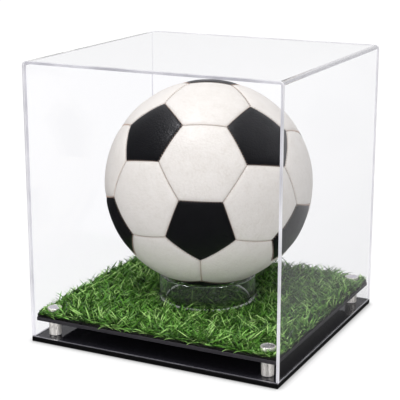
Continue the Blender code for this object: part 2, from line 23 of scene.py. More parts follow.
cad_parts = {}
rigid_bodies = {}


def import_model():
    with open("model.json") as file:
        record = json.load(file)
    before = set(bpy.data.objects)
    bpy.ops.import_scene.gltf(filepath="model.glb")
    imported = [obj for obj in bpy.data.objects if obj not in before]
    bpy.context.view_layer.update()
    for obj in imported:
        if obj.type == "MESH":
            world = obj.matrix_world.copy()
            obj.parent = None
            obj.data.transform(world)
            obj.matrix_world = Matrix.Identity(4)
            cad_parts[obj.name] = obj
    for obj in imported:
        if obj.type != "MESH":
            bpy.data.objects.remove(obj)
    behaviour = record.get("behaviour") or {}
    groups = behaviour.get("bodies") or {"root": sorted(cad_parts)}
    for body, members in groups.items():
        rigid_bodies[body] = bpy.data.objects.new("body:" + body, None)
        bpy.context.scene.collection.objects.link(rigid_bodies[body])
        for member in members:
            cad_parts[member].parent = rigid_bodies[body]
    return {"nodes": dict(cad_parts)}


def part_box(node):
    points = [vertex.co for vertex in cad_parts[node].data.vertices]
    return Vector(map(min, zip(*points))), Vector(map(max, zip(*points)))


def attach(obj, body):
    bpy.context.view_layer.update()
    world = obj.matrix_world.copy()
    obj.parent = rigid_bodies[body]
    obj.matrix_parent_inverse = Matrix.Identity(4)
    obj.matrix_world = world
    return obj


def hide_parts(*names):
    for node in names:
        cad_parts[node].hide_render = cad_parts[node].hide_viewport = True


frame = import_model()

LOG = logging.getLogger("display_case")
MM = 0.001
TURF_SEED = 11
CORNERS = range(1, 5)
# A face looks along an axis when its normal has more than this of it.
FACING = 0.9
# Edges sharper than the first angle are eased. Hard pieces show those sharper than the second as creases.
SHARP = math.radians(60)
CREASED = math.radians(35)
# An inset this narrow only splits off a ring of faces, to be scaled afterwards.
HAIR = MM / 1000
# A truncated icosahedron's circumradius over its edge.
EDGE_RATIO = math.sqrt(58 + 18 * math.sqrt(5)) / 4
# Pentagons no farther apart than this many times the least distance are neighbours.
NEIGHBOURS = 1.3
# The panel that faces this near the valve's direction holds the valve.
AT_VALVE = math.radians(5)
WHITE_LIGHT = (1, 1, 1, 1)
# What a map range reads, so that most of a noise's values spread over the whole of what it gives.
MOST_NOISE = {"From Min": 0.3, "From Max": 0.7}

Span = tuple[float, float]
Adder = Callable[..., Node]
Test = Callable[[object], bool]


class Body(Enum):
    """The CAD bodies that a piece can ride on."""

    BASE = "base"
    COVER = "cover"
    BALL = "ball"


class Slot(Enum):
    """The record's material slots, which new pieces are handed over with."""

    CLEAR = "clear_acrylic"
    STEEL = "satin_steel"
    TURF = "turf"
    WHITE_LEATHER = "white_leather"
    BLACK_LEATHER = "black_leather"


class Grip(Enum):
    """What a pick in edit mode takes hold of."""

    FACES = "FACE"
    EDGES = "EDGE"


class Lit(Enum):
    """The pieces that a lamp lights, by how their names start."""

    CASE = ("base", "riser", "standoff", "turf", "ball", "panel", "cover")
    GRASS = ("turf",)
    BRIGHT_RIMS = ("standoff", "base_screw", "ball_ring")


# Colour and nodes


def linear(code: str) -> tuple[float, float, float, float]:
    """Turn an sRGB hex colour into linear values.

    Args:
        code: The colour, such as "#1a2b3c".

    Returns:
        Linear red, green and blue, and an alpha of one.
    """
    shares = [int(code[i : i + 2], 16) / 255 for i in (1, 3, 5)]
    red, green, blue = (c / 12.92 if c <= 0.04045 else ((c + 0.055) / 1.055) ** 2.4 for c in shares)
    return (red, green, blue, 1.0)


def add_node(tree: NodeTree, kind: str, inputs: dict | None = None, **settings: object) -> Node:
    """Add one node with its settings, values and links.

    Args:
        tree: The node tree that it goes into.
        kind: The node's type, without the "ShaderNode" that all of them start with.
        inputs: For each input's name or number, a value to set, a socket to link, or a node whose first
            output in use is linked.
        **settings: Properties of the node itself.

    Returns:
        The new node.
    """
    node = tree.nodes.new(f"ShaderNode{kind}")
    for name, value in settings.items():
        setattr(node, name, value)
    for key, value in (inputs or {}).items():
        if isinstance(value, Node):
            value = next(output for output in value.outputs if output.enabled)
        if isinstance(value, NodeSocket):
            tree.links.new(value, node.inputs[key])
        else:
            node.inputs[key].default_value = value
    return node


@dataclass(frozen=True)
class Finish:
    """A material, made once and shared by the pieces that have it."""

    name: str

    def surface(self, add: Adder) -> Node:
        """Build the shader. Each finish has its own."""
        raise NotImplementedError

    def material(self) -> Material:
        """Make the material, or return the one made before.

        Returns:
            The material with its nodes.
        """
        made = bpy.data.materials.get(self.name)
        if made is None:
            made = bpy.data.materials.new(self.name)
            made.use_nodes = True
            made.node_tree.nodes.clear()
            add = partial(add_node, made.node_tree)
            add("OutputMaterial", {"Surface": self.surface(add)})
        return made


@dataclass(frozen=True)
class CastAcrylic(Finish):
    """Clear cast acrylic sheet, polished by its mould: a mirror-smooth skin that shows the room in it."""

    tint: str = "#fdfdfe"
    passing: str = "#fafafc"
    # Acrylic is 1.49. These thin walls mirror much less of the room than that, as the photograph shows.
    ior: float = 1.22
    ripple: float = 60 * MM
    ripple_height: float = 0.02 * MM
    # Fine scratches whiten a wall that is seen edge on, and hardly one that is seen face on.
    haze: float = 0.0
    face_on_share: float = 0.1

    def surface(self, add: Adder) -> Node:
        """Refract what the camera sees, and let lamps and bounced light straight through the thin sheet.

        Args:
            add: Adds a node to the material.

        Returns:
            The shader.
        """
        place = add("TexCoord").outputs["Object"]
        waves = add("TexNoise", {"Vector": place, "Scale": 1 / self.ripple, "Detail": 1.0})
        bump = add("Bump", {"Height": waves, "Distance": self.ripple_height, "Strength": 1.0})
        skin = {"Base Color": linear(self.tint), "Roughness": 0.0, "IOR": self.ior, "Normal": bump}
        sheet = add("BsdfPrincipled", {**skin, "Transmission Weight": 1.0})
        facing = add("LayerWeight", {"Blend": 0.5}).outputs["Facing"]
        whites = {"To Min": self.haze * self.face_on_share, "To Max": self.haze}
        whitened = add("MapRange", {"Value": facing, "From Min": 0.5, **whites})
        scratches = add("BsdfDiffuse", {"Color": linear(self.tint)})
        wall = add("MixShader", {0: whitened, 1: sheet, 2: scratches})
        clear = add("BsdfTransparent", {"Color": linear(self.passing)})
        ray = add("LightPath").outputs
        first_look = {0: ray["Is Glossy Ray"], 1: ray["Is Transmission Ray"]}
        mirrored = add("Math", first_look, operation="SUBTRACT", use_clamp=True)
        bounced = add("Math", {0: ray["Is Diffuse Ray"], 1: mirrored}, operation="MAXIMUM")
        passing = add("Math", {0: ray["Is Shadow Ray"], 1: bounced}, operation="MAXIMUM")
        return add("MixShader", {0: passing, 1: wall, 2: clear})


@dataclass(frozen=True)
class CutAcrylicEdge(Finish):
    """The sawn and scraped edge of clear acrylic: a milky white, which may also glow with painted light, as if it
    gathered light in the sheet.
    """

    colour: str = "#f1f0f3"
    worn: str = "#d0cfd4"
    scraped: float = 45 * MM
    through: float = 0.45
    saw_pitch: float = 1.1 * MM
    saw_depth: float = 0.06 * MM
    roughness: float = 0.28
    # A painted glow, standing in for the light that the faces take in and that leaves the sheet here, and how high
    # above the table it ends.
    painted_glow: float = 0.0
    glow_fades_by: float = 0.0
    ior: float = 1.49

    def surface(self, add: Adder) -> Node:
        """A frosted edge, brighter and greyer by turns along it, with faint saw lines and any painted glow.

        Args:
            add: Adds a node to the material.

        Returns:
            The shader.
        """
        place = add("TexCoord").outputs["Object"]
        patches = add("TexNoise", {"Vector": place, "Scale": 1 / self.scraped, "Detail": 2.0})
        share = add("MapRange", {"Value": patches, "From Min": 0.35, "From Max": 0.65})
        shade = add("Mix", {0: share, 6: linear(self.colour), 7: linear(self.worn)}, data_type="RGBA")
        lines = add("TexNoise", {"Vector": place, "Scale": 1 / self.saw_pitch, "Detail": 2.0})
        bump = add("Bump", {"Height": lines, "Distance": self.saw_depth})
        # Painted light: an emission that stands in for light gathered in the sheet, fading out with height where a
        # height is given.
        glow: float | Node = self.painted_glow
        if self.glow_fades_by:
            rise = add("SeparateXYZ", {0: place}).outputs["Z"]
            ends = {"From Max": self.glow_fades_by, "To Min": self.painted_glow, "To Max": 0.0}
            glow = add("MapRange", {"Value": rise, **ends})
        skin = {"Base Color": shade, "Roughness": self.roughness, "IOR": self.ior, "Normal": bump}
        light = {"Emission Color": linear(self.colour), "Emission Strength": glow}
        edge = add("BsdfPrincipled", {**skin, **light})
        lit = add("BsdfTranslucent", {"Color": shade})
        return add("MixShader", {0: self.through, 1: edge, 2: lit})


@dataclass(frozen=True)
class BlackAcrylic(Finish):
    """Gloss black cast acrylic: a black mirror with faint polishing haze, and dull grey sawn edges."""

    colour: str = "#0d0d0f"
    sawn: str = "#0b0b0c"
    haze_size: float = 35 * MM
    smooth: float = 0.02
    hazy: float = 0.07
    dull: float = 0.42
    dust: str = "#2e2d33"
    dusty: float = 0.40
    saw_pitch: float = 1.2 * MM
    saw_depth: float = 0.05 * MM
    ior: float = 1.49

    def surface(self, add: Adder) -> Node:
        """A black gloss under a film of dust, and streaky sawn grey on upright edges.

        Args:
            add: Adds a node to the material.

        Returns:
            The shader.
        """
        where = add("TexCoord").outputs
        cloudy = {"Scale": 1 / self.haze_size, "Detail": 4.0, "Roughness": 0.6}
        haze = add("TexNoise", {"Vector": where["Object"], **cloudy})
        gloss = {"From Min": 0.35, "From Max": 0.7, "To Min": self.smooth, "To Max": self.hazy}
        rough = add("MapRange", {"Value": haze, **gloss})
        rise = add("SeparateXYZ", {0: where["Normal"]}).outputs["Z"]
        flat = add("Math", {0: rise}, operation="ABSOLUTE")
        upright = add("MapRange", {"Value": flat, "From Min": 0.95, "From Max": 0.85})
        streaks = add("TexNoise", {"Vector": where["Object"], "Scale": 1 / self.saw_pitch, "Detail": 3.0})
        bump = add("Bump", {"Height": streaks, "Distance": self.saw_depth})
        mirror = {"Base Color": linear(self.colour), "Roughness": rough, "IOR": self.ior}
        polished = add("BsdfPrincipled", mirror)
        film = add("BsdfDiffuse", {"Color": linear(self.dust)})
        face = add("MixShader", {0: self.dusty, 1: polished, 2: film})
        grey = {"Base Color": linear(self.sawn), "Roughness": self.dull, "IOR": self.ior}
        cut = add("BsdfPrincipled", {**grey, "Specular IOR Level": 0.25, "Normal": bump})
        return add("MixShader", {0: upright, 1: face, 2: cut})


@dataclass(frozen=True)
class SatinSteel(Finish):
    """Turned and brushed stainless steel: a warm grey metal whose fine lines draw the light into bands."""

    colour: str = "#e6e2da"
    line_pitch: float = 0.5 * MM
    line_depth: float = 0.03 * MM
    smooth: float = 0.22
    rough: float = 0.42
    metallic: float = 0.85
    stretch: tuple[float, float, float] = (0.08, 0.08, 1.0)

    def surface(self, add: Adder) -> Node:
        """A metal with tool lines in its relief and in its roughness.

        Args:
            add: Adds a node to the material.

        Returns:
            The shader.
        """
        along = add("Mapping", {"Vector": add("TexCoord").outputs["Object"], "Scale": self.stretch})
        fine = {"Scale": 1 / self.line_pitch, "Detail": 3.0, "Roughness": 0.7}
        lines = add("TexNoise", {"Vector": along, **fine})
        rough = add("MapRange", {"Value": lines, **MOST_NOISE, "To Min": self.smooth, "To Max": self.rough})
        bump = add("Bump", {"Height": lines, "Distance": self.line_depth})
        metal = {"Base Color": linear(self.colour), "Metallic": self.metallic, "Anisotropic": 0.4}
        return add("BsdfPrincipled", {**metal, "Roughness": rough, "Normal": bump})


@dataclass(frozen=True)
class GrassYarn(Finish):
    """Extruded polyethylene turf yarn: waxy blades in mixed greens, painted dark towards the root as shade and
    paler further out.
    """

    root: str = "#050d02"
    deep: str = "#103206"
    leaf: str = "#619a37"
    fresh: str = "#b2d582"
    leaf_tone: float = 0.55
    root_shade_reach: float = 0.6
    roughness: float = 0.40
    see_through: float = 0.12

    def surface(self, add: Adder) -> Node:
        """Blend greens by each blade's own tone, paint shade over its length towards the root, and let some light
        through the blade.

        Args:
            add: Adds a node to the material.

        Returns:
            The shader.
        """
        tone = add("Attribute", attribute_name="tone").outputs["Fac"]
        along = add("Attribute", attribute_name="along").outputs["Fac"]
        # Painted shade: each blade darkens to the root colour over the first part of its length.
        rise = add("MapRange", {"Value": along, "From Max": self.root_shade_reach})
        low = add("MapRange", {"Value": tone, "From Max": self.leaf_tone})
        high = add("MapRange", {"Value": tone, "From Min": self.leaf_tone})
        darker = add("Mix", {0: low, 6: linear(self.deep), 7: linear(self.leaf)}, data_type="RGBA")
        green = add("Mix", {0: high, 6: darker, 7: linear(self.fresh)}, data_type="RGBA")
        shaded = add("Mix", {0: rise, 6: linear(self.root), 7: green}, data_type="RGBA")
        wax = {"Base Color": shaded, "Roughness": self.roughness, "IOR": 1.5, "Specular IOR Level": 0.3}
        blade = add("BsdfPrincipled", wax)
        through = add("BsdfTranslucent", {"Color": shaded})
        return add("MixShader", {0: self.see_through, 1: blade, 2: through})


@dataclass(frozen=True)
class MottledSkin(Finish):
    """A skin whose own fine pattern mixes two shades of its colour and may stand in relief."""

    shade: str
    other: str
    pitch: float
    roughness: float
    detail: float = 0.0
    relief: float = 0.0
    pattern: str = "TexNoise"

    def surface(self, add: Adder) -> Node:
        """Mix the shades by the pattern, and raise it where it has any relief.

        Args:
            add: Adds a node to the material.

        Returns:
            The shader.
        """
        place = add("TexCoord").outputs["Object"]
        marks = add(self.pattern, {"Vector": place, "Scale": 1 / self.pitch, "Detail": self.detail})
        mixed = add("Mix", {0: marks, 6: linear(self.shade), 7: linear(self.other)}, data_type="RGBA")
        skin = {"Base Color": mixed, "Roughness": self.roughness}
        if self.relief:
            skin["Normal"] = add("Bump", {"Height": marks, "Distance": self.relief})
        return add("BsdfPrincipled", skin)


@dataclass(frozen=True)
class CoatedLeather(Finish):
    """Polyurethane-coated synthetic leather with an embossed grain: a soft sheen broken by tiny pebbles."""

    colour: str = "#ebe7e0"
    valley_shade: str = "#cfc8bc"
    # The real grain is about 0.4 mm across. It is drawn coarser here, so that the picture can show it.
    grain: float = 1.8 * MM
    relief: float = 0.26 * MM
    mottles_per_metre: float = 90.0
    smooth: float = 0.38
    rough: float = 0.50

    def surface(self, add: Adder) -> Node:
        """Embossed pebbles whose valleys are painted slightly darker as shade, with broad faint mottling in colour
        and roughness.

        Args:
            add: Adds a node to the material.

        Returns:
            The shader.
        """
        place = add("TexCoord").outputs["Object"]
        round_grain = {"Scale": 1 / self.grain, "Smoothness": 0.6}
        pebbles = add("TexVoronoi", {"Vector": place, **round_grain}, feature="SMOOTH_F1")
        mottle = add("TexNoise", {"Vector": place, "Scale": self.mottles_per_metre, "Detail": 3.0})
        # Painted shade: the grain's valleys are darkened, more where the mottling is high.
        depth = add("Math", {0: pebbles, 1: mottle}, operation="MULTIPLY")
        shade = add("Mix", {0: depth, 6: linear(self.colour), 7: linear(self.valley_shade)}, data_type="RGBA")
        rough = add("MapRange", {"Value": mottle, **MOST_NOISE, "To Min": self.smooth, "To Max": self.rough})
        bump = add("Bump", {"Height": pebbles, "Distance": self.relief, "Strength": 0.8}, invert=True)
        coat = {"Roughness": rough, "IOR": 1.45, "Specular IOR Level": 0.4}
        return add("BsdfPrincipled", {"Base Color": shade, **coat, "Normal": bump})


@dataclass(frozen=True)
class PalePaper(Finish):
    """Matt white studio paper under the case, lit from below as on a light table, with a contact shadow painted
    near the base.
    """

    colour: str = "#f6f6f6"
    glow: float = 1.25
    lent_glow: float = 1.0
    lit_share: float = 0.30
    painted_shadow_reach: float = 8 * MM
    painted_shadow_glow: float = 0.45

    def surface(self, add: Adder) -> Node:
        """A plain matt white that lights the case less than it looks, with its glow dimmed close to the base as a
        painted contact shadow.

        Args:
            add: Adds a node to the material.

        Returns:
            The shader.
        """
        bounced = add("LightPath").outputs["Is Diffuse Ray"]
        strength = add("MapRange", {"Value": bounced, "To Min": self.glow, "To Max": self.lent_glow})
        # Painted shadow: ambient occlusion dims the glow where the base is close.
        close = add("AmbientOcclusion", {"Distance": self.painted_shadow_reach}, samples=16).outputs["AO"]
        unshadowed_share = add("MapRange", {"Value": close, "From Min": 0.5, "To Min": self.painted_shadow_glow})
        shaded = add("Math", {0: strength, 1: unshadowed_share}, operation="MULTIPLY")
        paper = add("BsdfDiffuse", {"Color": linear(self.colour)})
        table = add("Emission", {"Color": WHITE_LIGHT, "Strength": shaded})
        return add("MixShader", {0: self.lit_share, 1: table, 2: paper})


@dataclass(frozen=True)
class PaintedShadowCard(Finish):
    """Matt black card, seen only by mirrors, that paints the case's shadow on the table into their reflections, its
    edge thinning out.
    """

    colour: str = "#0a0a0a"
    dense: float = 0.85
    solid: Span = (150 * MM, 145 * MM)
    fade: float = 80 * MM

    def surface(self, add: Adder) -> Node:
        """A plain matt black that thins out to nothing over the card's edge.

        Args:
            add: Adds a node to the material.

        Returns:
            The shader.
        """
        place = add("TexCoord").outputs["Object"]
        across = add("VectorMath", {0: place}, operation="ABSOLUTE")
        beyond = add("VectorMath", {0: across, 1: (*self.solid, 0.0)}, operation="SUBTRACT")
        sides = add("SeparateXYZ", {0: beyond}).outputs
        farther = add("Math", {0: sides["X"], 1: sides["Y"]}, operation="MAXIMUM")
        ends = {"From Max": self.fade, "To Min": 1 - self.dense}
        thinned = add("MapRange", {"Value": farther, **ends}, interpolation_type="SMOOTHSTEP")
        black = add("BsdfDiffuse", {"Color": linear(self.colour)})
        return add("MixShader", {0: thinned, 1: black, 2: add("BsdfTransparent")})


SHEET = CastAcrylic("cast_clear_acrylic")
TUBE = CastAcrylic("extruded_acrylic_tube", tint="#f4f7f4", ior=1.49, haze=0.035)
# The cover's sawn edges glow with painted light, brightest at the table and gone 270 mm up.
EDGE = CutAcrylicEdge("sawn_acrylic_edge", painted_glow=0.52, glow_fades_by=270 * MM)
# The back-left sawn edges are painted brighter: a paler worn shade and a painted glow, so that they show fainter.
BRIGHTENED_EDGE = CutAcrylicEdge("sawn_acrylic_edge_painted_bright", worn="#e4e3e7", painted_glow=0.22)
# The bends are tinted grey: painted shade for the dark room that they mirror.
DARKENED_BEND = CastAcrylic("bent_acrylic_sheet_painted_dark", tint="#b5b4b9", ior=1.49)
# The edges that the sheets stand on are painted grey as shade, darker on the end panels than on the bent sheet.
DARK_FOOT = CutAcrylicEdge("sawn_acrylic_foot_painted_dark", colour="#7a797e", worn="#5a595e", through=0.0)
PALE_FOOT = CutAcrylicEdge("sawn_acrylic_foot_painted_grey", colour="#c0c0c4", worn="#a0a0a4", through=0.0)
# The ring's lower rim glows with painted light, for the light that the tube wall gathers.
RIM = CutAcrylicEdge(
    "polished_acrylic_rim_painted_glow", colour="#f2f4f2", worn="#c8ccc8", scraped=15 * MM, roughness=0.2, painted_glow=0.35
)
# Its dark green-grey is painted shade, for the shaded turf seen through the clear rim. Its index is above acrylic's
# own: what leaves the wall through this rim adds to what the rim mirrors.
UPPER_RIM = CutAcrylicEdge(
    "polished_acrylic_upper_rim_painted_shade", "#4a5448", "#262d24", scraped=20 * MM, roughness=0.12, through=0.0, ior=2.2
)
PLATE = BlackAcrylic("gloss_black_acrylic")
RISER = BlackAcrylic("gloss_black_acrylic_rough_sawn", sawn="#363437", dull=0.5)
BRUSHED = SatinSteel("brushed_stainless_steel", colour="#c9c5cb")
TURNED = SatinSteel("turned_stainless_steel", stretch=(1.0, 1.0, 0.08), line_pitch=0.6 * MM)
GRASS = GrassYarn("polyethylene_turf_yarn")
# Black latex on woven cloth: dull and uneven, with the cloth showing through as lumps.
LATEX = MottledSkin(
    "latex_turf_backing", "#23261c", "#10110d", 1.6 * MM, 0.8, relief=0.4 * MM, pattern="TexVoronoi"
)
WHITE = CoatedLeather("white_coated_leather")
BLACK = CoatedLeather("black_coated_leather", colour="#131316", valley_shade="#09090b")
# Waxed polyester thread: beige cord with the darker lines of its twist, a little shiny.
THREAD = MottledSkin("waxed_beige_thread", "#dccbbd", "#a98a78", 0.5 * MM, 0.5, detail=1.0)
# Moulded butyl rubber: matt near-black with a faint, cloudy bloom.
RUBBER = MottledSkin("moulded_black_rubber", "#17171a", "#2c2c30", 4 * MM, 0.62, detail=4.0)
PAPER = PalePaper("white_studio_paper")
PAINTED_SHADOW_CARD = PaintedShadowCard("painted_shadow_card")


# Bench tools, as used by hand


def size(node: str) -> Vector:
    """A CAD node's width, depth and height."""
    low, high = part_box(node)
    return high - low


def middle(node: str) -> Vector:
    """The middle of a CAD node's box."""
    low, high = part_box(node)
    return (low + high) / 2


def ball_place() -> tuple[Vector, float]:
    """Find the whole ball from its panels.

    Returns:
        Its centre and its radius.
    """
    boxes = [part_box(node) for node in frame["nodes"] if node.startswith(("ball_hexagon", "ball_pentagon"))]
    low = Vector([min(box[0][i] for box in boxes) for i in range(3)])
    high = Vector([max(box[1][i] for box in boxes) for i in range(3)])
    return (low + high) / 2, (high.z - low.z) / 2


def square_to(axis: Vector, way: Vector) -> Vector:
    """The part of a direction that is square to an axis, at unit length."""
    return (way - axis * axis.dot(way)).normalized()


def deselect() -> None:
    """Leave edit mode and let go of everything."""
    if bpy.context.object is not None and bpy.context.object.mode != "OBJECT":
        bpy.ops.object.mode_set(mode="OBJECT")
    bpy.ops.object.select_all(action="DESELECT")


def hold(piece: Object) -> None:
    """Select one piece alone and make it the active one.

    Args:
        piece: The piece to take hold of.
    """
    deselect()
    piece.select_set(True)
    bpy.context.view_layer.objects.active = piece


def blank(name: str, add: Callable[..., set[str]], *finishes: Finish, **sizes: object) -> Object:
    """Add a primitive, put its place into its mesh, and give it its name and finishes.

    Args:
        name: The piece's name.
        add: The operator that adds the primitive.
        *finishes: The piece's materials, in slot order.
        **sizes: What the operator takes.

    Returns:
        The piece, selected, at the origin.
    """
    deselect()
    add(**sizes)
    piece = bpy.context.object
    piece.name = piece.data.name = name
    bpy.ops.object.transform_apply(location=True, rotation=True, scale=True)
    for finish in finishes:
        piece.data.materials.append(finish.material())
    return piece


def block(name: str, low: Vector, high: Vector, *finishes: Finish) -> Object:
    """Add a block between two corners."""
    place = {"location": (low + high) / 2, "scale": high - low}
    return blank(name, bpy.ops.mesh.primitive_cube_add, *finishes, size=1, **place)


def edit(piece: Object) -> None:
    """Go into edit mode on one piece, with everything selected.

    Args:
        piece: The piece to edit.
    """
    hold(piece)
    bpy.ops.object.mode_set(mode="EDIT")
    bpy.ops.mesh.select_all(action="SELECT")


def pick(piece: Object, grip: Grip, test: Test) -> None:
    """Select the faces or edges that pass a test, in edit mode, and nothing else.

    Args:
        piece: The piece in edit mode.
        grip: Whether faces or edges are picked.
        test: Says of one face or edge whether it is picked.
    """
    bpy.ops.mesh.select_mode(type=grip.value)
    bpy.ops.mesh.select_all(action="DESELECT")
    mesh = bmesh.from_edit_mesh(piece.data)
    for part in mesh.faces if grip is Grip.FACES else mesh.edges:
        if test(part):
            part.select_set(True)
    bmesh.update_edit_mesh(piece.data)


def spread(line: BMEdge, axis: int) -> float:
    """How far an edge reaches along an axis."""
    one, two = line.verts
    return abs(one.co[axis] - two.co[axis])


def dress_faces(piece: Object, finish: Finish, test: Test | None = None) -> None:
    """Give some faces another of the piece's finishes, in edit mode.

    Args:
        piece: The piece in edit mode.
        finish: One of its finishes.
        test: Says of one face whether it gets the finish. Without a test, the selected faces do.
    """
    if test is not None:
        pick(piece, Grip.FACES, test)
    piece.active_material_index = piece.data.materials.find(finish.name)
    bpy.ops.object.material_slot_assign()


def modify(piece: Object, kind: str, **settings: object) -> None:
    """Add one modifier to a piece and apply it.

    Args:
        piece: The piece to change.
        kind: The modifier's type name.
        **settings: The modifier's properties.
    """
    hold(piece)
    modifier = piece.modifiers.new(kind.title(), kind)
    for name, value in settings.items():
        setattr(modifier, name, value)
    bpy.ops.object.modifier_apply(modifier=modifier.name)


def ease(piece: Object, width: float, segments: int = 3) -> None:
    """Round a piece's sharp edges, and shade it smooth with its flat faces kept flat.

    Args:
        piece: The piece to finish.
        width: How wide the rounding is.
        segments: How many steps it has.
    """
    modify(piece, "BEVEL", width=width, segments=segments, limit_method="ANGLE", angle_limit=SHARP)
    bpy.ops.object.shade_smooth_by_angle(angle=CREASED)
    modify(piece, "WEIGHTED_NORMAL", mode="FACE_AREA", weight=100, keep_sharp=True)


def twin(piece: Object, name: str, move: Matrix) -> Object:
    """Copy a finished piece, with its own mesh, to another place.

    Args:
        piece: The piece to copy.
        name: The copy's name.
        move: Where the copy goes, from the first one's place.

    Returns:
        The copy, at the origin with its place in its mesh.
    """
    copy = piece.copy()
    copy.data = piece.data.copy()
    copy.name = copy.data.name = name
    copy.data.transform(move)
    bpy.context.collection.objects.link(copy)
    return copy


def many_of(name: str, pattern: Object, places: np.ndarray, finish: Finish) -> Object:
    """Make one piece out of many copies of a pattern, each with its own bend and place.

    Args:
        name: The piece's name.
        pattern: The piece whose faces are repeated.
        places: The vertices of one copy after the other.
        finish: The new piece's material.

    Returns:
        The new piece.
    """
    # Some primitives give their faces in an order that changes from run to run.
    faces = sorted(tuple(face.vertices) for face in pattern.data.polygons)
    starts = range(0, len(places), len(pattern.data.vertices))
    mesh = bpy.data.meshes.new(name)
    mesh.from_pydata(places.tolist(), [], [tuple(start + i for i in face) for start in starts for face in faces])
    mesh.materials.append(finish.material())
    piece = bpy.data.objects.new(name, mesh)
    bpy.context.collection.objects.link(piece)
    return piece


def shape_of(pattern: Object) -> np.ndarray:
    """A pattern's vertices, one row for each."""
    return np.array([tuple(vert.co) for vert in pattern.data.vertices])


def hand_over(piece: Object, body: Body, slot: Slot, *stands_for: str) -> None:
    """Put a finished piece on its body and hide what it replaces.

    Args:
        piece: The finished piece.
        body: The CAD body that it rides on.
        slot: The record's slot for its finish. Not used.
        *stands_for: The CAD nodes that it replaces.
    """
    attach(piece, body.value)
    if stands_for:
        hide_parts(*stands_for)
    LOG.info("%s: %d faces on %s", piece.name, len(piece.data.polygons), body.value)


def dress_node(node: str, finish: Finish) -> None:
    """Give a CAD node that stays in view its finish."""
    for place in frame["nodes"][node].material_slots:
        place.material = finish.material()


def tube(name: str, node: str, bore: float, sides: int, arris: float, *finishes: Finish) -> Object:
    """Turn an upright tube with eased rims, as large as a CAD node and in its place.

    Args:
        name: The piece's name.
        node: The node that it stands for.
        bore: Its bore's radius.
        sides: Its number of sides.
        arris: The width of the eased edge on its rims.
        *finishes: Its materials, the tube's own first.

    Returns:
        The tube.
    """
    width, _, height = size(node)
    body = {"vertices": sides, "radius": width / 2, "depth": height, "location": middle(node)}
    piece = blank(name, bpy.ops.mesh.primitive_cylinder_add, *finishes, **body)
    edit(piece)
    pick(piece, Grip.FACES, lambda face: abs(face.normal.z) > FACING)
    bpy.ops.mesh.inset(thickness=width / 2 - bore)
    bpy.ops.mesh.delete(type="FACE")
    pick(piece, Grip.EDGES, lambda edge: edge.is_boundary)
    bpy.ops.mesh.bridge_edge_loops()
    bpy.ops.mesh.select_all(action="SELECT")
    bpy.ops.mesh.normals_make_consistent(inside=False)
    ease(piece, arris)
    return piece


@dataclass
class Cover:
    """The lift-off cover: one sheet bent over both sides and the top, and two flat end panels."""

    bend_radius: float = 4.5 * MM
    bend_segments: int = 12
    # A face that looks less than this along the sides or the top lies in a bend.
    straight: float = 0.995
    arris: float = 0.22 * MM
    arris_segments: int = 2
    thickness: float = field(init=False)

    def build(self) -> None:
        """Build the three sheets and glue up the cover."""
        self.thickness = size("cover_front").y
        self._wrap()
        for node in ("cover_front", "cover_back"):
            self._end_panel(node)

    def _block(self, name: str, node: str, foot: Finish) -> Object:
        """Make a block of the node's size whose two long top edges are bent round.

        Args:
            name: The piece's name.
            node: The CAD node of the sheet.
            foot: The finish of the edge that it stands on.

        Returns:
            The block, in edit mode.
        """
        low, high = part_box(node)
        piece = block(name, low, high, SHEET, EDGE, foot, DARKENED_BEND, BRIGHTENED_EDGE)
        top = high.z - self.arris
        edit(piece)
        pick(piece, Grip.EDGES, lambda line: min(v.co.z for v in line.verts) > top and spread(line, 0) < self.arris)
        bpy.ops.mesh.bevel(offset=self.bend_radius, segments=self.bend_segments, affect="EDGES")
        return piece

    def _wrap(self) -> None:
        """The bent sheet: an open U, thickened inwards, with sawn ends."""
        piece = self._block("cover_bent_sheet", "cover_wrap", PALE_FOOT)
        pick(piece, Grip.FACES, lambda face: abs(face.normal.y) > FACING or face.normal.z < -FACING)
        bpy.ops.mesh.delete(type="FACE")
        deselect()
        modify(piece, "SOLIDIFY", thickness=self.thickness, offset=-1, use_even_offset=True, material_offset_rim=1)
        edit(piece)
        # The bends take the grey-tinted sheet, as painted shade.
        dress_faces(piece, DARKENED_BEND, self._is_bent)
        # The back-left sawn edges are painted brighter.
        dress_faces(piece, BRIGHTENED_EDGE, lambda face: face.normal.y > FACING and face.calc_center_median().x < 0)
        self._complete(piece, "cover_wrap", PALE_FOOT)

    def _end_panel(self, node: str) -> None:
        """Make a flat end panel, polished on its faces and sawn all round.

        Args:
            node: The CAD node of the front or the back panel.
        """
        piece = self._block(f"{node}_sheet", node, DARK_FOOT)
        dress_faces(piece, EDGE, lambda face: abs(face.normal.y) < FACING)
        # The back-left sawn edges are painted brighter.
        dress_faces(piece, BRIGHTENED_EDGE, lambda face: face.normal.x < -FACING and face.calc_center_median().y > 0)
        self._complete(piece, node, DARK_FOOT)

    def _is_bent(self, face: BMFace) -> bool:
        """Say whether a face lies in a bend."""
        normal = face.normal
        return abs(normal.y) < 1 - FACING and max(abs(normal.x), abs(normal.z)) < self.straight

    def _complete(self, piece: Object, node: str, foot: Finish) -> None:
        """Finish the edge that a sheet stands on, scrape its sharp edges and put it on the cover.

        Args:
            piece: The sheet, in edit mode.
            node: The CAD node that it replaces.
            foot: The finish of the edge that it stands on, painted greyer than the others as shade.
        """
        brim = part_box("cover_front")[0].z + self.thickness
        dress_faces(piece, foot, lambda face: face.normal.z < -FACING and face.calc_center_median().z < brim)
        ease(piece, self.arris, self.arris_segments)
        hand_over(piece, Body.COVER, Slot.CLEAR, node)


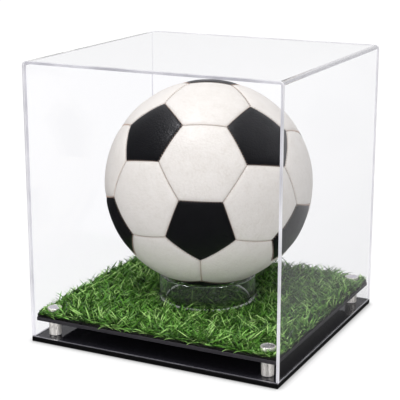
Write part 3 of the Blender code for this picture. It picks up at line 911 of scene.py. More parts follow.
@dataclass
class Base:
    """The black base plate and riser plate, their screws, and the four standoffs that hold them apart."""

    sides: int = 64
    arris: float = 0.5 * MM
    stud_radius: float = 2.0 * MM
    bore_room: float = 0.3 * MM
    cap_height: float = 6.0 * MM
    # The photograph's caps are broader and lower than the CAD model's.
    cap_broader: float = 1.2 * MM
    cap_lower: float = 1.3 * MM
    dish_rim: float = 0.7 * MM
    dish_depth: float = 0.15 * MM

    def build(self) -> None:
        """Dress the plates and screws, and build the standoffs."""
        dress_node("base_plate", PLATE)
        dress_node("riser_plate", RISER)
        for number in CORNERS:
            dress_node(f"base_screw_{number}", BRUSHED)
        bore = self.stud_radius + self.bore_room
        barrel = tube("standoff_barrel_turned_1", "standoff_barrel_1", bore, self.sides, self.arris, TURNED)
        self._set_of_four("standoff_barrel", barrel)
        self._set_of_four("standoff_cap", self._cap("standoff_cap_1"))

    def _set_of_four(self, stem: str, first: Object) -> None:
        """Hand over the first piece and its three copies, each in its own node's place.

        Args:
            stem: How the four nodes' names start.
            first: The first piece.
        """
        pieces = [first]
        for number in CORNERS[1:]:
            move = Matrix.Translation(middle(f"{stem}_{number}") - middle(f"{stem}_1"))
            pieces.append(twin(first, f"{stem}_turned_{number}", move))
        for number, piece in zip(CORNERS, pieces):
            hand_over(piece, Body.BASE, Slot.STEEL, f"{stem}_{number}")

    def _cap(self, node: str) -> Object:
        """Turn a cap: a bright chamfered rim round a shallow brushed dish, with its stud beneath.

        Args:
            node: The CAD node that it stands for.

        Returns:
            The cap.
        """
        low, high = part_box(node)
        radius = size(node).x / 2 + self.cap_broader
        shoulder = high.z - self.cap_height
        depth = self.cap_height - self.cap_lower
        place = middle(node)
        place.z = shoulder + depth / 2
        body = {"vertices": self.sides, "radius": radius, "depth": depth, "location": place}
        piece = blank("standoff_cap_turned_1", bpy.ops.mesh.primitive_cylinder_add, TURNED, BRUSHED, **body)
        edit(piece)
        pick(piece, Grip.FACES, lambda face: face.normal.z < -FACING)
        bpy.ops.mesh.inset(thickness=radius - self.stud_radius)
        bpy.ops.mesh.extrude_region_move(TRANSFORM_OT_translate={"value": (0, 0, low.z - shoulder)})
        pick(piece, Grip.FACES, lambda face: face.normal.z > FACING)
        bpy.ops.mesh.inset(thickness=self.dish_rim)
        bpy.ops.mesh.inset(thickness=self.dish_depth)
        bpy.ops.transform.translate(value=(0, 0, -self.dish_depth))
        dress_faces(piece, BRUSHED)
        ease(piece, self.arris)
        return piece


@dataclass
class BallRing:
    """The clear ring, cut from acrylic tube, that the ball rests on."""

    sides: int = 144
    wall: float = 6.0 * MM
    arris: float = 0.8 * MM
    rim: float = 0.88 * MM

    def build(self) -> None:
        """Turn the ring, polish its two rims and put it in its node's place."""
        low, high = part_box("ball_ring")
        bore = size("ball_ring").x / 2 - self.wall
        finishes = (TUBE, RIM, UPPER_RIM)
        piece = tube("ball_ring_polished", "ball_ring", bore, self.sides, self.arris, *finishes)
        edit(piece)
        # The lower rim gets a painted glow, the upper rim a painted dark shade.
        for finish, level in ((RIM, low.z), (UPPER_RIM, high.z)):
            dress_faces(piece, finish, partial(self._is_rim, level))
        deselect()
        hand_over(piece, Body.BASE, Slot.CLEAR, "ball_ring")

    def _is_rim(self, level: float, face: BMFace) -> bool:
        """Say whether a face belongs to the eased rim at this height."""
        return abs(face.calc_center_median().z - level) < self.rim and abs(face.normal.z) < FACING


class Trait(IntEnum):
    """The columns of a table of planned blades."""

    X, Y, HEADING, LENGTH, TILT, CURL, WIDTH, TURN, TONE, ROLL = range(10)


@dataclass(frozen=True)
class Fringe:
    """Blades that lie almost along the mat's border, inwards near its corners, and droop over its cut edge."""

    # How far from a side's middle they stand, as a share of its length. Tilt and curl are in degrees.
    stand: float = 0.5
    inset: Span = (0.2 * MM, 1.2 * MM)
    length: Span = (8.0 * MM, 17.0 * MM)
    tilt: Span = (55.0, 80.0)
    curl: Span = (30.0, 60.0)
    width: Span = (1.1 * MM, 1.9 * MM)
    tones: Span = (1.2, 1.5)
    pitch: float = 1.4 * MM
    corner_reach: float = 20.0 * MM
    stray: float = 0.06
    turn: float = 0.2
    roll: float = 0.5

    def heading(self, rng: Generator, along: np.ndarray, run: float) -> np.ndarray:
        """Point them either way along the side, and inwards near its ends.

        Args:
            rng: Draws which way and how far astray.
            along: How far from the side's middle they stand.
            run: The side's length.

        Returns:
            Their headings.
        """
        inwards = np.where(along > 0, math.pi, 0.0)
        at_corner = np.abs(along) > run / 2 - self.corner_reach
        either_way = rng.choice((0.0, math.pi), along.size)
        return np.where(at_corner, inwards, either_way) + rng.normal(0, self.stray, along.size)

    def look(self, rng: Generator, count: int) -> tuple[np.ndarray, ...]:
        """Twisted a little, in all tones, rolled a little."""
        return rng.normal(0, self.turn, count), rng.beta(*self.tones, count), rng.normal(0, self.roll, count)


@dataclass(frozen=True)
class Overhang(Fringe):
    """A few bright blades that lie along the border and hang down over the riser plate's edge."""

    stand: float = 0.46
    inset: Span = (0.0, 0.2 * MM)
    length: Span = (10.0 * MM, 15.0 * MM)
    tilt: Span = (68.0, 80.0)
    curl: Span = (50.0, 75.0)
    width: Span = (0.9 * MM, 1.3 * MM)
    tones: Span = (0.5, 0.9)
    pitch: float = 25.0 * MM
    outward: Span = (2.6, 3.8)

    def heading(self, rng: Generator, along: np.ndarray, run: float) -> np.ndarray:
        """Point them either way along the side and a little outwards.

        Args:
            rng: Draws which way and how far outwards.
            along: How far from the side's middle they stand.
            run: The side's length. Not used.

        Returns:
            Their headings.
        """
        backwards = rng.choice((0.0, math.pi), along.size)
        outward = np.radians(rng.uniform(*self.outward, along.size))
        return np.where(backwards > 0, math.pi + outward, -outward)

    def look(self, rng: Generator, count: int) -> tuple[np.ndarray, ...]:
        """Straight, in bright tones, on edge."""
        return np.zeros(count), rng.uniform(*self.tones, count), np.full(count, math.pi / 2)


@dataclass
class Turf:
    """Artificial turf: a dark backing with many curved blades, lighter and darker, in random tufts."""

    backing: float = 2.8 * MM
    backing_cuts: int = 60
    lumps: Span = (-0.4 * MM, 0.25 * MM)
    ragged: float = 0.0045
    tuft_pitch: float = 3.4 * MM
    per_tuft: int = 3
    scatter: float = 1.7 * MM
    tuft_inset: float = 0.8 * MM
    root_inset: float = 0.4 * MM
    root_depth: float = 0.2 * MM
    pieces: int = 4
    blade_cuts: int = 3
    taper: float = 0.55
    width: Span = (1.1 * MM, 1.9 * MM)
    thickness: float = 0.30 * MM
    # The middle and the spread of the blades' lengths.
    length: Span = (18.5 * MM, 4.5 * MM)
    lengths: Span = (8.0 * MM, 30.0 * MM)
    tilt_degrees: Span = (32.0, 80.0)
    curl_degrees: Span = (4.0, 32.0)
    # The ring and the caps lay the blades near them flat.
    pressed_room: float = 12.0 * MM
    pressed_tilt: Span = (72.0, 85.0)
    pressed_curl: Span = (2.0, 9.0)
    cap_tilt: Span = (73.0, 84.0)
    loose_share: float = 0.12
    roll_degrees: float = 50.0
    twist: float = 0.35
    # The two shapes of the beta distribution that tones are drawn from.
    tones: Span = (0.9, 1.3)
    # Short blades that stand among the flattened ones round the caps.
    fuzz_turns: tuple[float, ...] = (2.4, 4.1)
    fuzz_length: float = 0.38
    fuzz_tilt: float = 0.65
    drift: Span = (0.2, -0.1)
    highest: float = 46.5 * MM
    cap_room: float = 0.5 * MM
    ring_room: float = 0.7 * MM
    wall_room: float = 0.7 * MM
    ball_room: float = 0.8 * MM
    samples: int = 7
    low: Vector = field(init=False)
    high: Vector = field(init=False)
    level: float = field(init=False)

    def build(self) -> None:
        """Lay the backing, plan the blades, and plant them piece by piece."""
        self.low, self.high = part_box("turf_mat")
        self.level = self.low.z + self.backing
        hand_over(self._backing(), Body.BASE, Slot.TURF, "turf_mat")
        blade = self._blade()
        for number, share in enumerate(np.array_split(self._plans(), self.pieces), start=1):
            hand_over(self._plant(f"turf_blades_{number}", blade, share), Body.BASE, Slot.TURF)
        bpy.data.objects.remove(blade, do_unlink=True)

    def _backing(self) -> Object:
        """Make the backing slab, with a slightly ragged cut edge.

        Returns:
            The slab.
        """
        piece = block("turf_backing", self.low, Vector((self.high.x, self.high.y, self.level)), LATEX)
        edit(piece)
        bpy.ops.mesh.subdivide(number_cuts=self.backing_cuts)
        deselect()
        rng = default_rng(TURF_SEED)
        places = shape_of(piece)
        count = len(places)
        upper = places[:, 2] > (self.low.z + self.level) / 2
        places[:, 2] += np.where(upper, rng.uniform(*self.lumps, count), 0)
        for axis in range(2):
            at_edge = np.abs(places[:, axis]) > self.high[axis] - MM
            places[:, axis] *= np.where(at_edge, 1 - rng.uniform(0, self.ragged, count), 1)
        piece.data.vertices.foreach_set("co", places.astype(np.float32).ravel())
        piece.data.update()
        return piece

    def _blade(self) -> Object:
        """Make one flat three-sided blade of unit length, width and thickness, coming to a point.

        Returns:
            The pattern blade.
        """
        body = {"vertices": 3, "radius": 0.5, "depth": 1, "location": (0, 0, 0.5)}
        piece = blank("blade_pattern", bpy.ops.mesh.primitive_cylinder_add, GRASS, **body)
        edit(piece)
        pick(piece, Grip.EDGES, lambda line: spread(line, 2) > 0.5)
        bpy.ops.mesh.subdivide(number_cuts=self.blade_cuts)
        pick(piece, Grip.FACES, lambda face: face.normal.z > FACING)
        bpy.ops.mesh.merge(type="CENTER")
        deselect()
        for vert in piece.data.vertices:
            share = 1 - self.taper * vert.co.z**2
            vert.co = (vert.co.x * share, vert.co.y * share, vert.co.z)
        return piece

    def _plans(self) -> np.ndarray:
        """Choose where each blade stands and how it bends, and drop those that would touch a fitting.

        Returns:
            One row for each blade, with its traits in their order.
        """
        rng = default_rng(TURF_SEED)
        inset = self.tuft_inset
        spans = [(self.low[axis], self.high[axis]) for axis in range(2)]
        tufts = [np.linspace(low + inset, high - inset, int((high - low) / self.tuft_pitch)) for low, high in spans]
        roots = []
        for grid, (low, high) in zip(np.meshgrid(*tufts), spans):
            place = np.repeat(grid.ravel(), self.per_tuft)
            place += rng.uniform(-self.scatter, self.scatter, place.size)
            roots.append(np.clip(place, low + self.root_inset, high - self.root_inset))
        count = place.size
        heading = rng.uniform(0, math.tau, count)
        heading = np.arctan2(np.sin(heading) + self.drift[1], np.cos(heading) + self.drift[0])
        length = np.clip(rng.normal(*self.length, count), *self.lengths)
        tilt = rng.uniform(*self.tilt_degrees, count)
        curl = rng.uniform(*self.curl_degrees, count)
        near = self._pressed(*roots)
        by_ring = np.hypot(*roots) < self.high.x / 2
        pressed = near & ((rng.uniform(0, 1, count) > self.loose_share) | ~by_ring)
        flat = np.where(by_ring, rng.uniform(*self.pressed_tilt, count), rng.uniform(*self.cap_tilt, count))
        tilt = np.radians(np.where(pressed, flat, tilt))
        curl = np.radians(np.where(pressed, rng.uniform(*self.pressed_curl, count), curl))
        width = rng.uniform(*self.width, count)
        turn = rng.normal(0, self.twist, count)
        tone = rng.beta(*self.tones, count)
        roll = np.radians(rng.uniform(-self.roll_degrees, self.roll_degrees, count))
        plans = [np.column_stack((*roots, heading, length, tilt, curl, width, turn, tone, roll))]
        for turned in self.fuzz_turns:
            short = plans[0][near & ~by_ring]
            short[:, Trait.HEADING] += turned
            short[:, Trait.LENGTH] *= self.fuzz_length
            short[:, Trait.TILT] *= self.fuzz_tilt
            plans.append(short)
        turned_back = self._turned_back(np.concatenate(plans))
        table = np.concatenate((turned_back, self._border(rng, Fringe()), self._border(rng, Overhang())))
        table = table[self._clear(table) & self._inside(table)]
        return table[rng.permutation(len(table))]

    def _near_caps(self, x: np.ndarray, y: np.ndarray, room: float) -> np.ndarray:
        """Say which points lie within some distance of a standoff cap.

        Args:
            x: Their first coordinates.
            y: Their second coordinates.
            room: The distance.

        Returns:
            True for each point that does.
        """
        near = np.zeros(x.shape, bool)
        for cap in (f"standoff_cap_{number}" for number in CORNERS):
            centre = middle(cap)
            near |= np.hypot(x - centre.x, y - centre.y) < size(cap).x / 2 + room
        return near

    def _pressed(self, x: np.ndarray, y: np.ndarray) -> np.ndarray:
        """Say which roots stand so near the ring or a cap that it lays their blades flat."""
        in_reach = np.hypot(x, y) < size("ball_ring").x / 2 + self.pressed_room
        return in_reach | self._near_caps(x, y, self.pressed_room)

    def _border(self, rng: Generator, hem: Fringe) -> np.ndarray:
        """Plan the blades along all four sides of the mat.

        Args:
            rng: Draws their places and bends.
            hem: How they lie.

        Returns:
            The blades' rows.
        """
        wide, deep = (self.high - self.low).xy
        rows = []
        for side in range(4):
            run, depth = (wide, deep) if side % 2 == 0 else (deep, wide)
            turned = side * math.pi / 2
            count = int(run / hem.pitch)
            along = rng.uniform(-hem.stand, hem.stand, count) * run
            inset = depth / 2 - rng.uniform(*hem.inset, count)
            heading = hem.heading(rng, along, run) + turned
            length = rng.uniform(*hem.length, count)
            tilt = np.radians(rng.uniform(*hem.tilt, count))
            curl = np.radians(rng.uniform(*hem.curl, count))
            x = along * math.cos(turned) + inset * math.sin(turned)
            y = along * math.sin(turned) - inset * math.cos(turned)
            width = rng.uniform(*hem.width, count)
            rows.append(np.column_stack((x, y, heading, length, tilt, curl, width, *hem.look(rng, count))))
        return np.concatenate(rows)

    def _bend(self, plans: np.ndarray, share: np.ndarray) -> tuple[np.ndarray, np.ndarray, np.ndarray]:
        """Follow the bent blades.

        Args:
            plans: The blades' rows.
            share: How far along them, from 0 to 1.

        Returns:
            How far out and up they have come there, and their angle, one row for each blade.
        """
        length, tilt, curl = plans.T[Trait.LENGTH : Trait.WIDTH, :, None]
        angle = tilt + curl * share
        radius = length / curl
        return radius * (np.cos(tilt) - np.cos(angle)), radius * (np.sin(angle) - np.sin(tilt)), angle

    def _course(self, plans: np.ndarray) -> tuple[np.ndarray, np.ndarray, np.ndarray]:
        """Points along each blade's middle.

        Args:
            plans: The blades' rows.

        Returns:
            The x, y and z of the points, one row for each blade.
        """
        x, y, heading = plans.T[: Trait.LENGTH, :, None]
        reach, rise, _ = self._bend(plans, np.linspace(0, 1, self.samples))
        return x + reach * np.cos(heading), y + reach * np.sin(heading), self.level + rise

    def _walls(self) -> tuple[float, float, float]:
        """Work out how much room the cover leaves.

        Returns:
            How far blades may reach to either side, to the front and to the back.
        """
        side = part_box("cover_wrap")[1].x - size("cover_front").y
        front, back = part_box("cover_front")[1].y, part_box("cover_back")[0].y
        return side - self.wall_room, front + self.wall_room, back - self.wall_room

    def _turned_back(self, plans: np.ndarray) -> np.ndarray:
        """Turn back the blades whose tips would meet the cover's walls, and those that would run into a fitting.

        Args:
            plans: The blades' rows.

        Returns:
            The rows with their new headings.
        """
        side, front, back = self._walls()
        x, y, _ = self._course(plans)
        plans = plans.copy()
        past_side = np.abs(x[:, -1]) > side
        past_end = (y[:, -1] < front) | (y[:, -1] > back)
        plans[past_side, Trait.HEADING] = math.pi - plans[past_side, Trait.HEADING]
        plans[past_end, Trait.HEADING] *= -1
        plans[~self._clear(plans), Trait.HEADING] += math.pi
        return plans

    def _inside(self, plans: np.ndarray) -> np.ndarray:
        """Say which blades stay inside the cover's walls and below the ball.

        Args:
            plans: The blades' rows.

        Returns:
            True for each blade that does.
        """
        side, front, back = self._walls()
        x, y, z = self._course(plans)
        return ((np.abs(x) < side) & (y > front) & (y < back) & (z < self.highest)).all(axis=1)

    def _clear(self, plans: np.ndarray) -> np.ndarray:
        """Say which blades stay clear of the caps, the ring and the ball.

        Args:
            plans: The blades' rows.

        Returns:
            True for each blade that does.
        """
        x, y, z = self._course(plans)
        ring = size("ball_ring").x / 2
        away = np.hypot(x, y)
        in_ring = (away > ring - BallRing.wall - self.ring_room) & (away < ring + self.ring_room)
        centre, radius = ball_place()
        in_ball = np.hypot(away, z - centre.z) < radius + self.ball_room
        in_cap = self._near_caps(x, y, Base.cap_broader + self.cap_room)
        return ~(in_ring | in_ball | in_cap).any(axis=1)

    def _plant(self, name: str, blade: Object, plans: np.ndarray) -> Object:
        """Copy the blade to every place in the plan, each bent and coloured in its own way.

        Args:
            name: The piece's name.
            blade: The pattern blade.
            plans: The rows of the blades to plant.

        Returns:
            One piece that holds all of these blades.
        """
        pattern = shape_of(blade)
        share = pattern[:, 2]
        x, y, heading, _, _, _, width, turn, tone, roll = plans.T[:, :, None]
        reach, rise, angle = self._bend(plans, share)
        wide = pattern[:, 0] * width
        thick = pattern[:, 1] * self.thickness
        sideways = wide * np.cos(roll) - thick * np.sin(roll)
        deep = wide * np.sin(roll) + thick * np.cos(roll)
        forward = reach + deep * np.cos(angle)
        twisted = heading + turn * share
        place_x = x + forward * np.cos(heading) - sideways * np.sin(twisted)
        place_y = y + forward * np.sin(heading) + sideways * np.cos(twisted)
        place_z = self.level - self.root_depth + rise - deep * np.sin(angle)
        piece = many_of(name, blade, np.stack((place_x, place_y, place_z), axis=2).reshape(-1, 3), GRASS)
        for label, values in (("tone", np.repeat(tone, share.size)), ("along", np.tile(share, len(plans)))):
            attribute = piece.data.attributes.new(label, "FLOAT", "POINT")
            attribute.data.foreach_set("value", values.astype(np.float32))
        return piece


@dataclass(frozen=True)
class Patch:
    """One leather panel's place on the ball."""

    node: str
    corners: tuple[Vector, ...]

    @property
    def facing(self) -> Vector:
        """The direction from the ball's centre to the panel's middle."""
        return sum(self.corners, Vector()).normalized()

    @property
    def turn(self) -> Matrix:
        """Work out how a panel lies.

        Returns:
            The turn that brings a panel made about +Z, with a corner towards +Y, into this place.
        """
        up = self.facing
        ahead = square_to(up, self.corners[0])
        return Matrix((ahead.cross(up), ahead, up)).transposed().to_4x4()


@dataclass
class StitchedBall:
    """The ball: black pentagons and white hexagons, puffed between stitched seams, with its valve."""

    radius: float = 110 * MM
    gap: float = 0.30 * MM
    edge_steps: int = 12
    crease: float = 0.95 * MM
    crease_reach: float = 1.6 * MM
    puff: float = 0.85 * MM
    puff_reach: float = 5.5 * MM
    thickness: float = 2.4 * MM
    # How far inside the seam the panel's rings of faces lie, in millimetres.
    rings: tuple[float, ...] = (0.3, 0.7, 1.2, 1.9, 2.8, 4.0, 5.6, 7.8, 10.6, 14.0, 18.5, 24.0)
    stitch_pitch: float = 3.0 * MM
    stitch_length: float = 1.9 * MM
    stitch_width: float = 0.75 * MM
    stitch_slant: float = 22.0
    stitch_sink: float = 0.95 * MM
    valve_room: float = 0.3 * MM
    valve_sides: int = 48
    cutter_depth: float = 20 * MM
    centre: Vector = field(init=False)

    def build(self) -> None:
        """Make one panel of each kind, lay all of them, sew the seams and dress the valve and bladder."""
        self.centre, _ = ball_place()
        patches = self._patches()
        for sides, finish, slot in ((6, WHITE, Slot.WHITE_LEATHER), (5, BLACK, Slot.BLACK_LEATHER)):
            pattern = self._panel(sides, finish)
            for patch in (p for p in patches if len(p.corners) == sides):
                self._lay(pattern, patch, slot)
            bpy.data.objects.remove(pattern, do_unlink=True)
        self._sew(patches)
        dress_node("ball_valve", RUBBER)
        dress_node("ball_bladder", RUBBER)

    def _direction(self, node: str) -> Vector:
        """Where a CAD piece lies, seen from the ball's centre."""
        places = [vert.co for vert in frame["nodes"][node].data.vertices]
        return (sum(places, Vector()) / len(places) - self.centre).normalized()

    def _hearts(self, stem: str) -> dict[str, Vector]:
        """The direction of each CAD panel of one kind, by node."""
        return {node: self._direction(node) for node in frame["nodes"] if node.startswith(stem)}

    def _patches(self) -> list[Patch]:
        """Work out every panel's corners from the middles of the twelve pentagons.

        The pentagons' middles are the corners of a regular icosahedron. Cutting each of its edges in three
        gives the corners of all panels.

        Returns:
            All thirty-two panels.
        """
        hearts = self._hearts("ball_pentagon")
        hexagons = self._hearts("ball_hexagon")
        near = NEIGHBOURS * min((a - b).length for a, b in combinations(hearts.values(), 2))
        patches = []
        for node, heart in hearts.items():
            others = [h for h in hearts.values() if 0 < (h - heart).length < near]
            patches.append(Patch(node, self._corners((heart, other) for other in others)))
        for a, b, c in combinations(hearts.values(), 3):
            if max((a - b).length, (b - c).length, (c - a).length) < near:
                corners = self._corners(((a, b), (b, a), (b, c), (c, b), (c, a), (a, c)))
                middle_way = sum(corners, Vector()).normalized()
                patches.append(Patch(max(hexagons, key=lambda name: hexagons[name].dot(middle_way)), corners))
        return patches

    def _corners(self, pairs: Iterable[tuple[Vector, Vector]]) -> tuple[Vector, ...]:
        """Find a panel's corners, a third of the way between neighbouring pentagons' middles.

        Args:
            pairs: For each corner, the nearer middle and the farther one.

        Returns:
            The corners, anticlockwise from outside.
        """
        corners = [(near * 2 + far).normalized() for near, far in pairs]
        up = sum(corners, Vector()).normalized()
        ahead = square_to(up, corners[0])
        side = up.cross(ahead)
        return tuple(sorted(corners, key=lambda corner: math.atan2(corner.dot(side), corner.dot(ahead))))

    def _panel(self, sides: int, finish: Finish) -> Object:
        """Make one puffed panel about +Z with a corner towards +Y.

        Args:
            sides: Five or six.
            finish: Its leather.

        Returns:
            The panel, centred on the ball's middle as if that were the origin.
        """
        corner = self.radius / EDGE_RATIO / (2 * math.sin(math.pi / sides))
        apothem = corner * math.cos(math.pi / sides)
        middle_point = (0, 0, math.sqrt(self.radius**2 - corner**2))
        trim = 1 - self.gap / (2 * apothem)
        outline = {"vertices": sides, "radius": corner * trim, "location": middle_point}
        piece = blank(f"panel_pattern_{sides}", bpy.ops.mesh.primitive_circle_add, finish, **outline)
        edit(piece)
        bpy.ops.mesh.subdivide(number_cuts=self.edge_steps - 1)
        bpy.ops.mesh.edge_face_add()
        bpy.ops.mesh.select_mode(type="FACE")
        bpy.ops.mesh.select_all(action="SELECT")
        last = 1.0
        for ring in self.rings:
            share = 1 - ring * MM / (apothem * trim)
            bpy.ops.mesh.inset(thickness=HAIR)
            bpy.ops.transform.resize(value=(share / last, share / last, 1), center_override=middle_point)
            last = share
        bpy.ops.mesh.poke()
        bpy.ops.mesh.select_all(action="SELECT")
        bpy.ops.mesh.normals_make_consistent(inside=False)
        deselect()
        self._puff(piece, sides, apothem * trim)
        modify(piece, "SOLIDIFY", thickness=self.thickness, offset=-1)
        bpy.ops.object.shade_smooth_by_angle(angle=SHARP)
        return piece

    def _puff(self, piece: Object, sides: int, apothem: float) -> None:
        """Bring a flat panel onto the ball, full in the middle and drawn in at its seams.

        Args:
            piece: The flat panel.
            sides: Five or six.
            apothem: How far its seams are from its middle.
        """
        bearings = [(i + 0.5) * math.tau / sides for i in range(sides)]
        outward = [Vector((math.sin(b), math.cos(b), 0)) for b in bearings]
        for vert in piece.data.vertices:
            inside = max(apothem - max(direction.dot(vert.co) for direction in outward), 0)
            drop = self.crease * math.exp(-inside / self.crease_reach)
            drop += self.puff * math.exp(-inside / self.puff_reach)
            vert.co = vert.co.normalized() * (self.radius - drop)

    def _lay(self, pattern: Object, patch: Patch, slot: Slot) -> None:
        """Copy a panel to its place, and cut the valve's hole where the valve is.

        Args:
            pattern: The panel to copy.
            patch: Where it goes.
            slot: The slot of its leather.
        """
        move = Matrix.Translation(self.centre) @ patch.turn
        piece = twin(pattern, patch.node.replace("ball_", "panel_"), move)
        if patch.facing.angle(self._direction("ball_valve")) < AT_VALVE:
            self._bore(piece, patch.facing)
        hand_over(piece, Body.BALL, slot, patch.node)

    def _bore(self, piece: Object, axis: Vector) -> None:
        """Cut the round hole that the valve sits in.

        Args:
            piece: The panel.
            axis: The hole's direction from the ball's centre.
        """
        valve = frame["nodes"]["ball_valve"]
        reach = max((v.co - self.centre).cross(axis).length for v in valve.data.vertices) + self.valve_room
        body = {"vertices": self.valve_sides, "radius": reach, "depth": self.cutter_depth}
        place = {"location": self.centre + axis * self.radius, "rotation": axis.to_track_quat("Z", "Y").to_euler()}
        cutter = blank("valve_cutter", bpy.ops.mesh.primitive_cylinder_add, **body, **place)
        modify(piece, "BOOLEAN", object=cutter, operation="DIFFERENCE", solver="EXACT")
        bpy.data.objects.remove(cutter, do_unlink=True)

    def _seams(self, patches: list[Patch]) -> Iterable[tuple[Vector, Vector]]:
        """Find every seam once.

        Args:
            patches: All panels.

        Returns:
            The two corners that each seam runs between.
        """
        found: dict[tuple, tuple[Vector, Vector]] = {}
        for patch in patches:
            for one, two in zip(patch.corners, patch.corners[1:] + patch.corners[:1]):
                found.setdefault(tuple(round(value, 3) for value in (one + two)), (one, two))
        return found.values()

    def _sew(self, patches: list[Patch]) -> None:
        """Lay slanted stitches across every seam.

        Args:
            patches: All panels.
        """
        bead = {"segments": 6, "ring_count": 4, "radius": 0.5}
        stitch = blank("stitch_pattern", bpy.ops.mesh.primitive_uv_sphere_add, THREAD, **bead)
        pattern = shape_of(stitch) * (self.stitch_width, self.stitch_length, self.stitch_width)
        slant = math.radians(self.stitch_slant)
        places: list[np.ndarray] = []
        for one, two in self._seams(patches):
            count = round(one.angle(two) * self.radius / self.stitch_pitch)
            for i in range(count):
                out = one.slerp(two, (i + 0.5) / count)
                along = square_to(out, two - one)
                lean = out.cross(along) * math.cos(slant) + along * math.sin(slant)
                basis = np.array((lean.cross(out), lean, out))
                places.append(np.array(self.centre + out * (self.radius - self.stitch_sink)) + pattern @ basis)
        piece = many_of("ball_stitches", stitch, np.concatenate(places), THREAD)
        piece.data.shade_smooth()
        bpy.data.objects.remove(stitch, do_unlink=True)
        hand_over(piece, Body.BALL, Slot.WHITE_LEATHER)


@dataclass(frozen=True)
class Lamp:
    """A square soft light that looks at the ball."""

    name: str
    place: tuple[float, float, float]
    side: float
    watts: float
    mirrored: bool
    lit: Lit | None = None


LAMPS = (
    Lamp("key", (-0.15, -0.65, 2.1), 0.9, 30.0, True, Lit.CASE),
    Lamp("fill", (0.9, -1.9, 0.5), 1.6, 8.0, False),
    Lamp("turf_sun_1", (0.55, -0.9, 1.4), 0.12, 12.5, False, Lit.GRASS),
    Lamp("turf_sun_2", (-0.85, -0.45, 1.4), 0.12, 12.5, False, Lit.GRASS),
    Lamp("steel_strip_1", (-0.75, -1.5, 0.1), 0.30, 50.0, True, Lit.BRIGHT_RIMS),
    Lamp("steel_strip_2", (1.45, -0.9, 0.1), 0.30, 50.0, True, Lit.BRIGHT_RIMS),
)


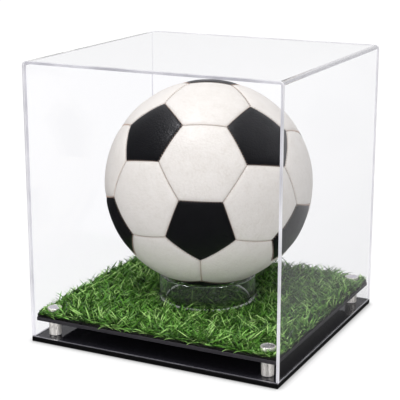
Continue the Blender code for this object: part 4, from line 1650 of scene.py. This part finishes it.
@dataclass
class Studio:
    """A pale floor, soft light from above and behind with darkness in front, and the camera."""

    azimuth: float = 26.46
    elevation: float = 15.09
    distance: float = 1.30067
    aside: float = -0.00874
    height: float = 0.13829
    lens: float = 109.1
    floor_size: float = 40.0
    floor_drop: float = 0.1 * MM
    shadow_card_size: Span = (0.500, 0.490)
    shadow_card_drop: float = 0.05 * MM
    aim: tuple[float, float, float] = (0, 0, 0.15)
    room_white: float = 0.62
    seen_white: float = 1.10
    sheet_white: float = 0.90
    # What mirrors see is white towards this way, and falls off to dark between two nearnesses to it.
    white_way: tuple[float, float, float] = (0.10, 0.75, 0.65)
    falls_off: Span = (0.15, 0.85)
    dark: float = 0.02
    # Clear sheets also see a dark stand along this line: where it begins and ends, and how far down.
    stand_way: tuple[float, float, float] = (0.46, 0.89, 0)
    stand_edge: Span = (0.93, 0.975)
    stand_depth: float = -0.08

    def build(self) -> None:
        """Set up the floor, the room light, the lamps and the camera."""
        floor = self._sheet("studio_floor", PAPER, (self.floor_size, self.floor_size), -self.floor_drop)
        floor.visible_glossy = False
        # Only mirror-like things show the flag: a painted shadow of the case on the table, seen in their
        # reflections.
        flag = self._sheet("painted_shadow_reflection", PAINTED_SHADOW_CARD, self.shadow_card_size, -self.shadow_card_drop)
        flag.visible_camera = flag.visible_diffuse = flag.visible_transmission = flag.visible_shadow = False
        self._room()
        groups = {lit: self._linked(lit) for lit in Lit}
        for lamp in LAMPS:
            self._light(lamp).light_linking.receiver_collection = groups.get(lamp.lit)
        self._camera()
        cycles = bpy.context.scene.cycles
        cycles.max_bounces = cycles.transmission_bounces = 24
        cycles.glossy_bounces = 8
        cycles.diffuse_bounces = 4
        cycles.transparent_max_bounces = 32
        bpy.context.scene.view_settings.view_transform = "Standard"

    def _sheet(self, name: str, finish: Finish, spans: Span, level: float) -> Object:
        """Lay a flat sheet under the case.

        Args:
            name: The sheet's name.
            finish: Its material.
            spans: Its width and depth.
            level: How high it lies.

        Returns:
            The sheet.
        """
        sheet = blank(name, bpy.ops.mesh.primitive_plane_add, finish, size=1, location=(0, 0, level))
        sheet.data.transform(Matrix.Diagonal((*spans, 1, 1)))
        return sheet

    def _room(self) -> None:
        """Light that is even for matt things, and for mirror-like ones white above and behind, dark in front."""
        world = bpy.data.worlds.new("soft_room")
        bpy.context.scene.world = world
        world.use_nodes = True
        world.node_tree.nodes.clear()
        add = partial(add_node, world.node_tree)
        way = add("TexCoord").outputs["Generated"]
        near = add("VectorMath", {0: way, 1: Vector(self.white_way).normalized()}, operation="DOT_PRODUCT")
        low, high = self.falls_off
        ends = {"From Min": low, "From Max": high, "To Min": self.dark}
        bright = add("MapRange", {"Value": near, **ends}, interpolation_type="SMOOTHSTEP")
        ray = add("LightPath").outputs
        rooms = {"To Min": bright, "To Max": self._sheet_room(add, way, bright)}
        sharp = add("MapRange", {"Value": ray["Is Singular Ray"], **rooms})
        strengths = (self.room_white, sharp, self.seen_white)
        even, mirrored, seen = (add("Background", {"Color": WHITE_LIGHT, "Strength": value}) for value in strengths)
        first_look = {0: ray["Is Glossy Ray"], 1: ray["Is Transmission Ray"]}
        glossy = add("Math", first_look, operation="SUBTRACT", use_clamp=True)
        sharp_or_seen = add("MixShader", {0: glossy, 1: seen, 2: mirrored})
        mixed = add("MixShader", {0: ray["Is Diffuse Ray"], 1: sharp_or_seen, 2: even})
        add("OutputWorld", {"Surface": mixed})

    def _sheet_room(self, add: Adder, way: NodeSocket, bright: Node) -> Node:
        """Make the room that clear sheets mirror: white, but for a dark stand along one line across the table.

        Args:
            add: Adds a node to the world.
            way: The direction looked in.
            bright: How bright the room is for rough mirrors.

        Returns:
            How bright it is for sheets.
        """
        level = add("VectorMath", {0: way, 1: (1, 1, 0)}, operation="MULTIPLY")
        heading = add("VectorMath", {0: level}, operation="NORMALIZE")
        line = Vector(self.stand_way).normalized()
        along = add("VectorMath", {0: heading, 1: line}, operation="DOT_PRODUCT")
        either_way = add("Math", {0: along}, operation="ABSOLUTE")
        low, high = self.stand_edge
        smooth = {"interpolation_type": "SMOOTHSTEP"}
        stand = add("MapRange", {"Value": either_way, "From Min": low, "From Max": high}, **smooth)
        rise = add("SeparateXYZ", {0: way}).outputs["Z"]
        below = add("MapRange", {"Value": rise, "From Max": self.stand_depth}, **smooth)
        dark = add("Math", {0: stand, 1: below}, operation="MULTIPLY")
        return add("MapRange", {"Value": dark, "To Min": self.sheet_white, "To Max": bright})

    def _linked(self, lit: Lit) -> Collection:
        """Gather the pieces that a lamp lights alone.

        Args:
            lit: Which pieces they are.

        Returns:
            The collection that holds them.
        """
        group = bpy.data.collections.new(f"{lit.name.lower()}_only")
        for piece in bpy.context.scene.objects:
            if piece.name.startswith(lit.value):
                group.objects.link(piece)
        return group

    def _light(self, lamp: Lamp) -> Object:
        """Set up a lamp.

        Args:
            lamp: The lamp.

        Returns:
            Its object in the scene.
        """
        data = bpy.data.lights.new(lamp.name, "AREA")
        data.size = lamp.side
        data.energy = lamp.watts
        light = bpy.data.objects.new(lamp.name, data)
        light.location = lamp.place
        light.rotation_euler = (Vector(self.aim) - light.location).to_track_quat("-Z", "Y").to_euler()
        light.visible_glossy = lamp.mirrored
        light.visible_camera = light.visible_transmission = False
        bpy.context.scene.collection.objects.link(light)
        return light

    def _camera(self) -> None:
        """The camera at the photograph's angle."""
        turn = math.radians(self.azimuth)
        rise = math.radians(self.elevation)
        back = Vector((math.sin(turn) * math.cos(rise), -math.cos(turn) * math.cos(rise), math.sin(rise)))
        right = Vector((math.cos(turn), math.sin(turn), 0))
        data = bpy.data.cameras.new("camera")
        data.lens = self.lens
        data.clip_end = 100
        camera = bpy.data.objects.new("camera", data)
        camera.location = right * self.aside + Vector((0, 0, self.height)) + back * self.distance
        camera.rotation_euler = (math.pi / 2 - rise, 0, turn)
        bpy.context.scene.collection.objects.link(camera)
        bpy.context.scene.camera = camera


def main() -> None:
    """Dress the whole case."""
    logging.basicConfig(level=logging.INFO, format="%(message)s")
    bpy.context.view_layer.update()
    for part in (Base(), BallRing(), Turf(), StitchedBall(), Cover(), Studio()):
        part.build()
    bpy.context.view_layer.update()


if __name__ == "__main__":
    main()
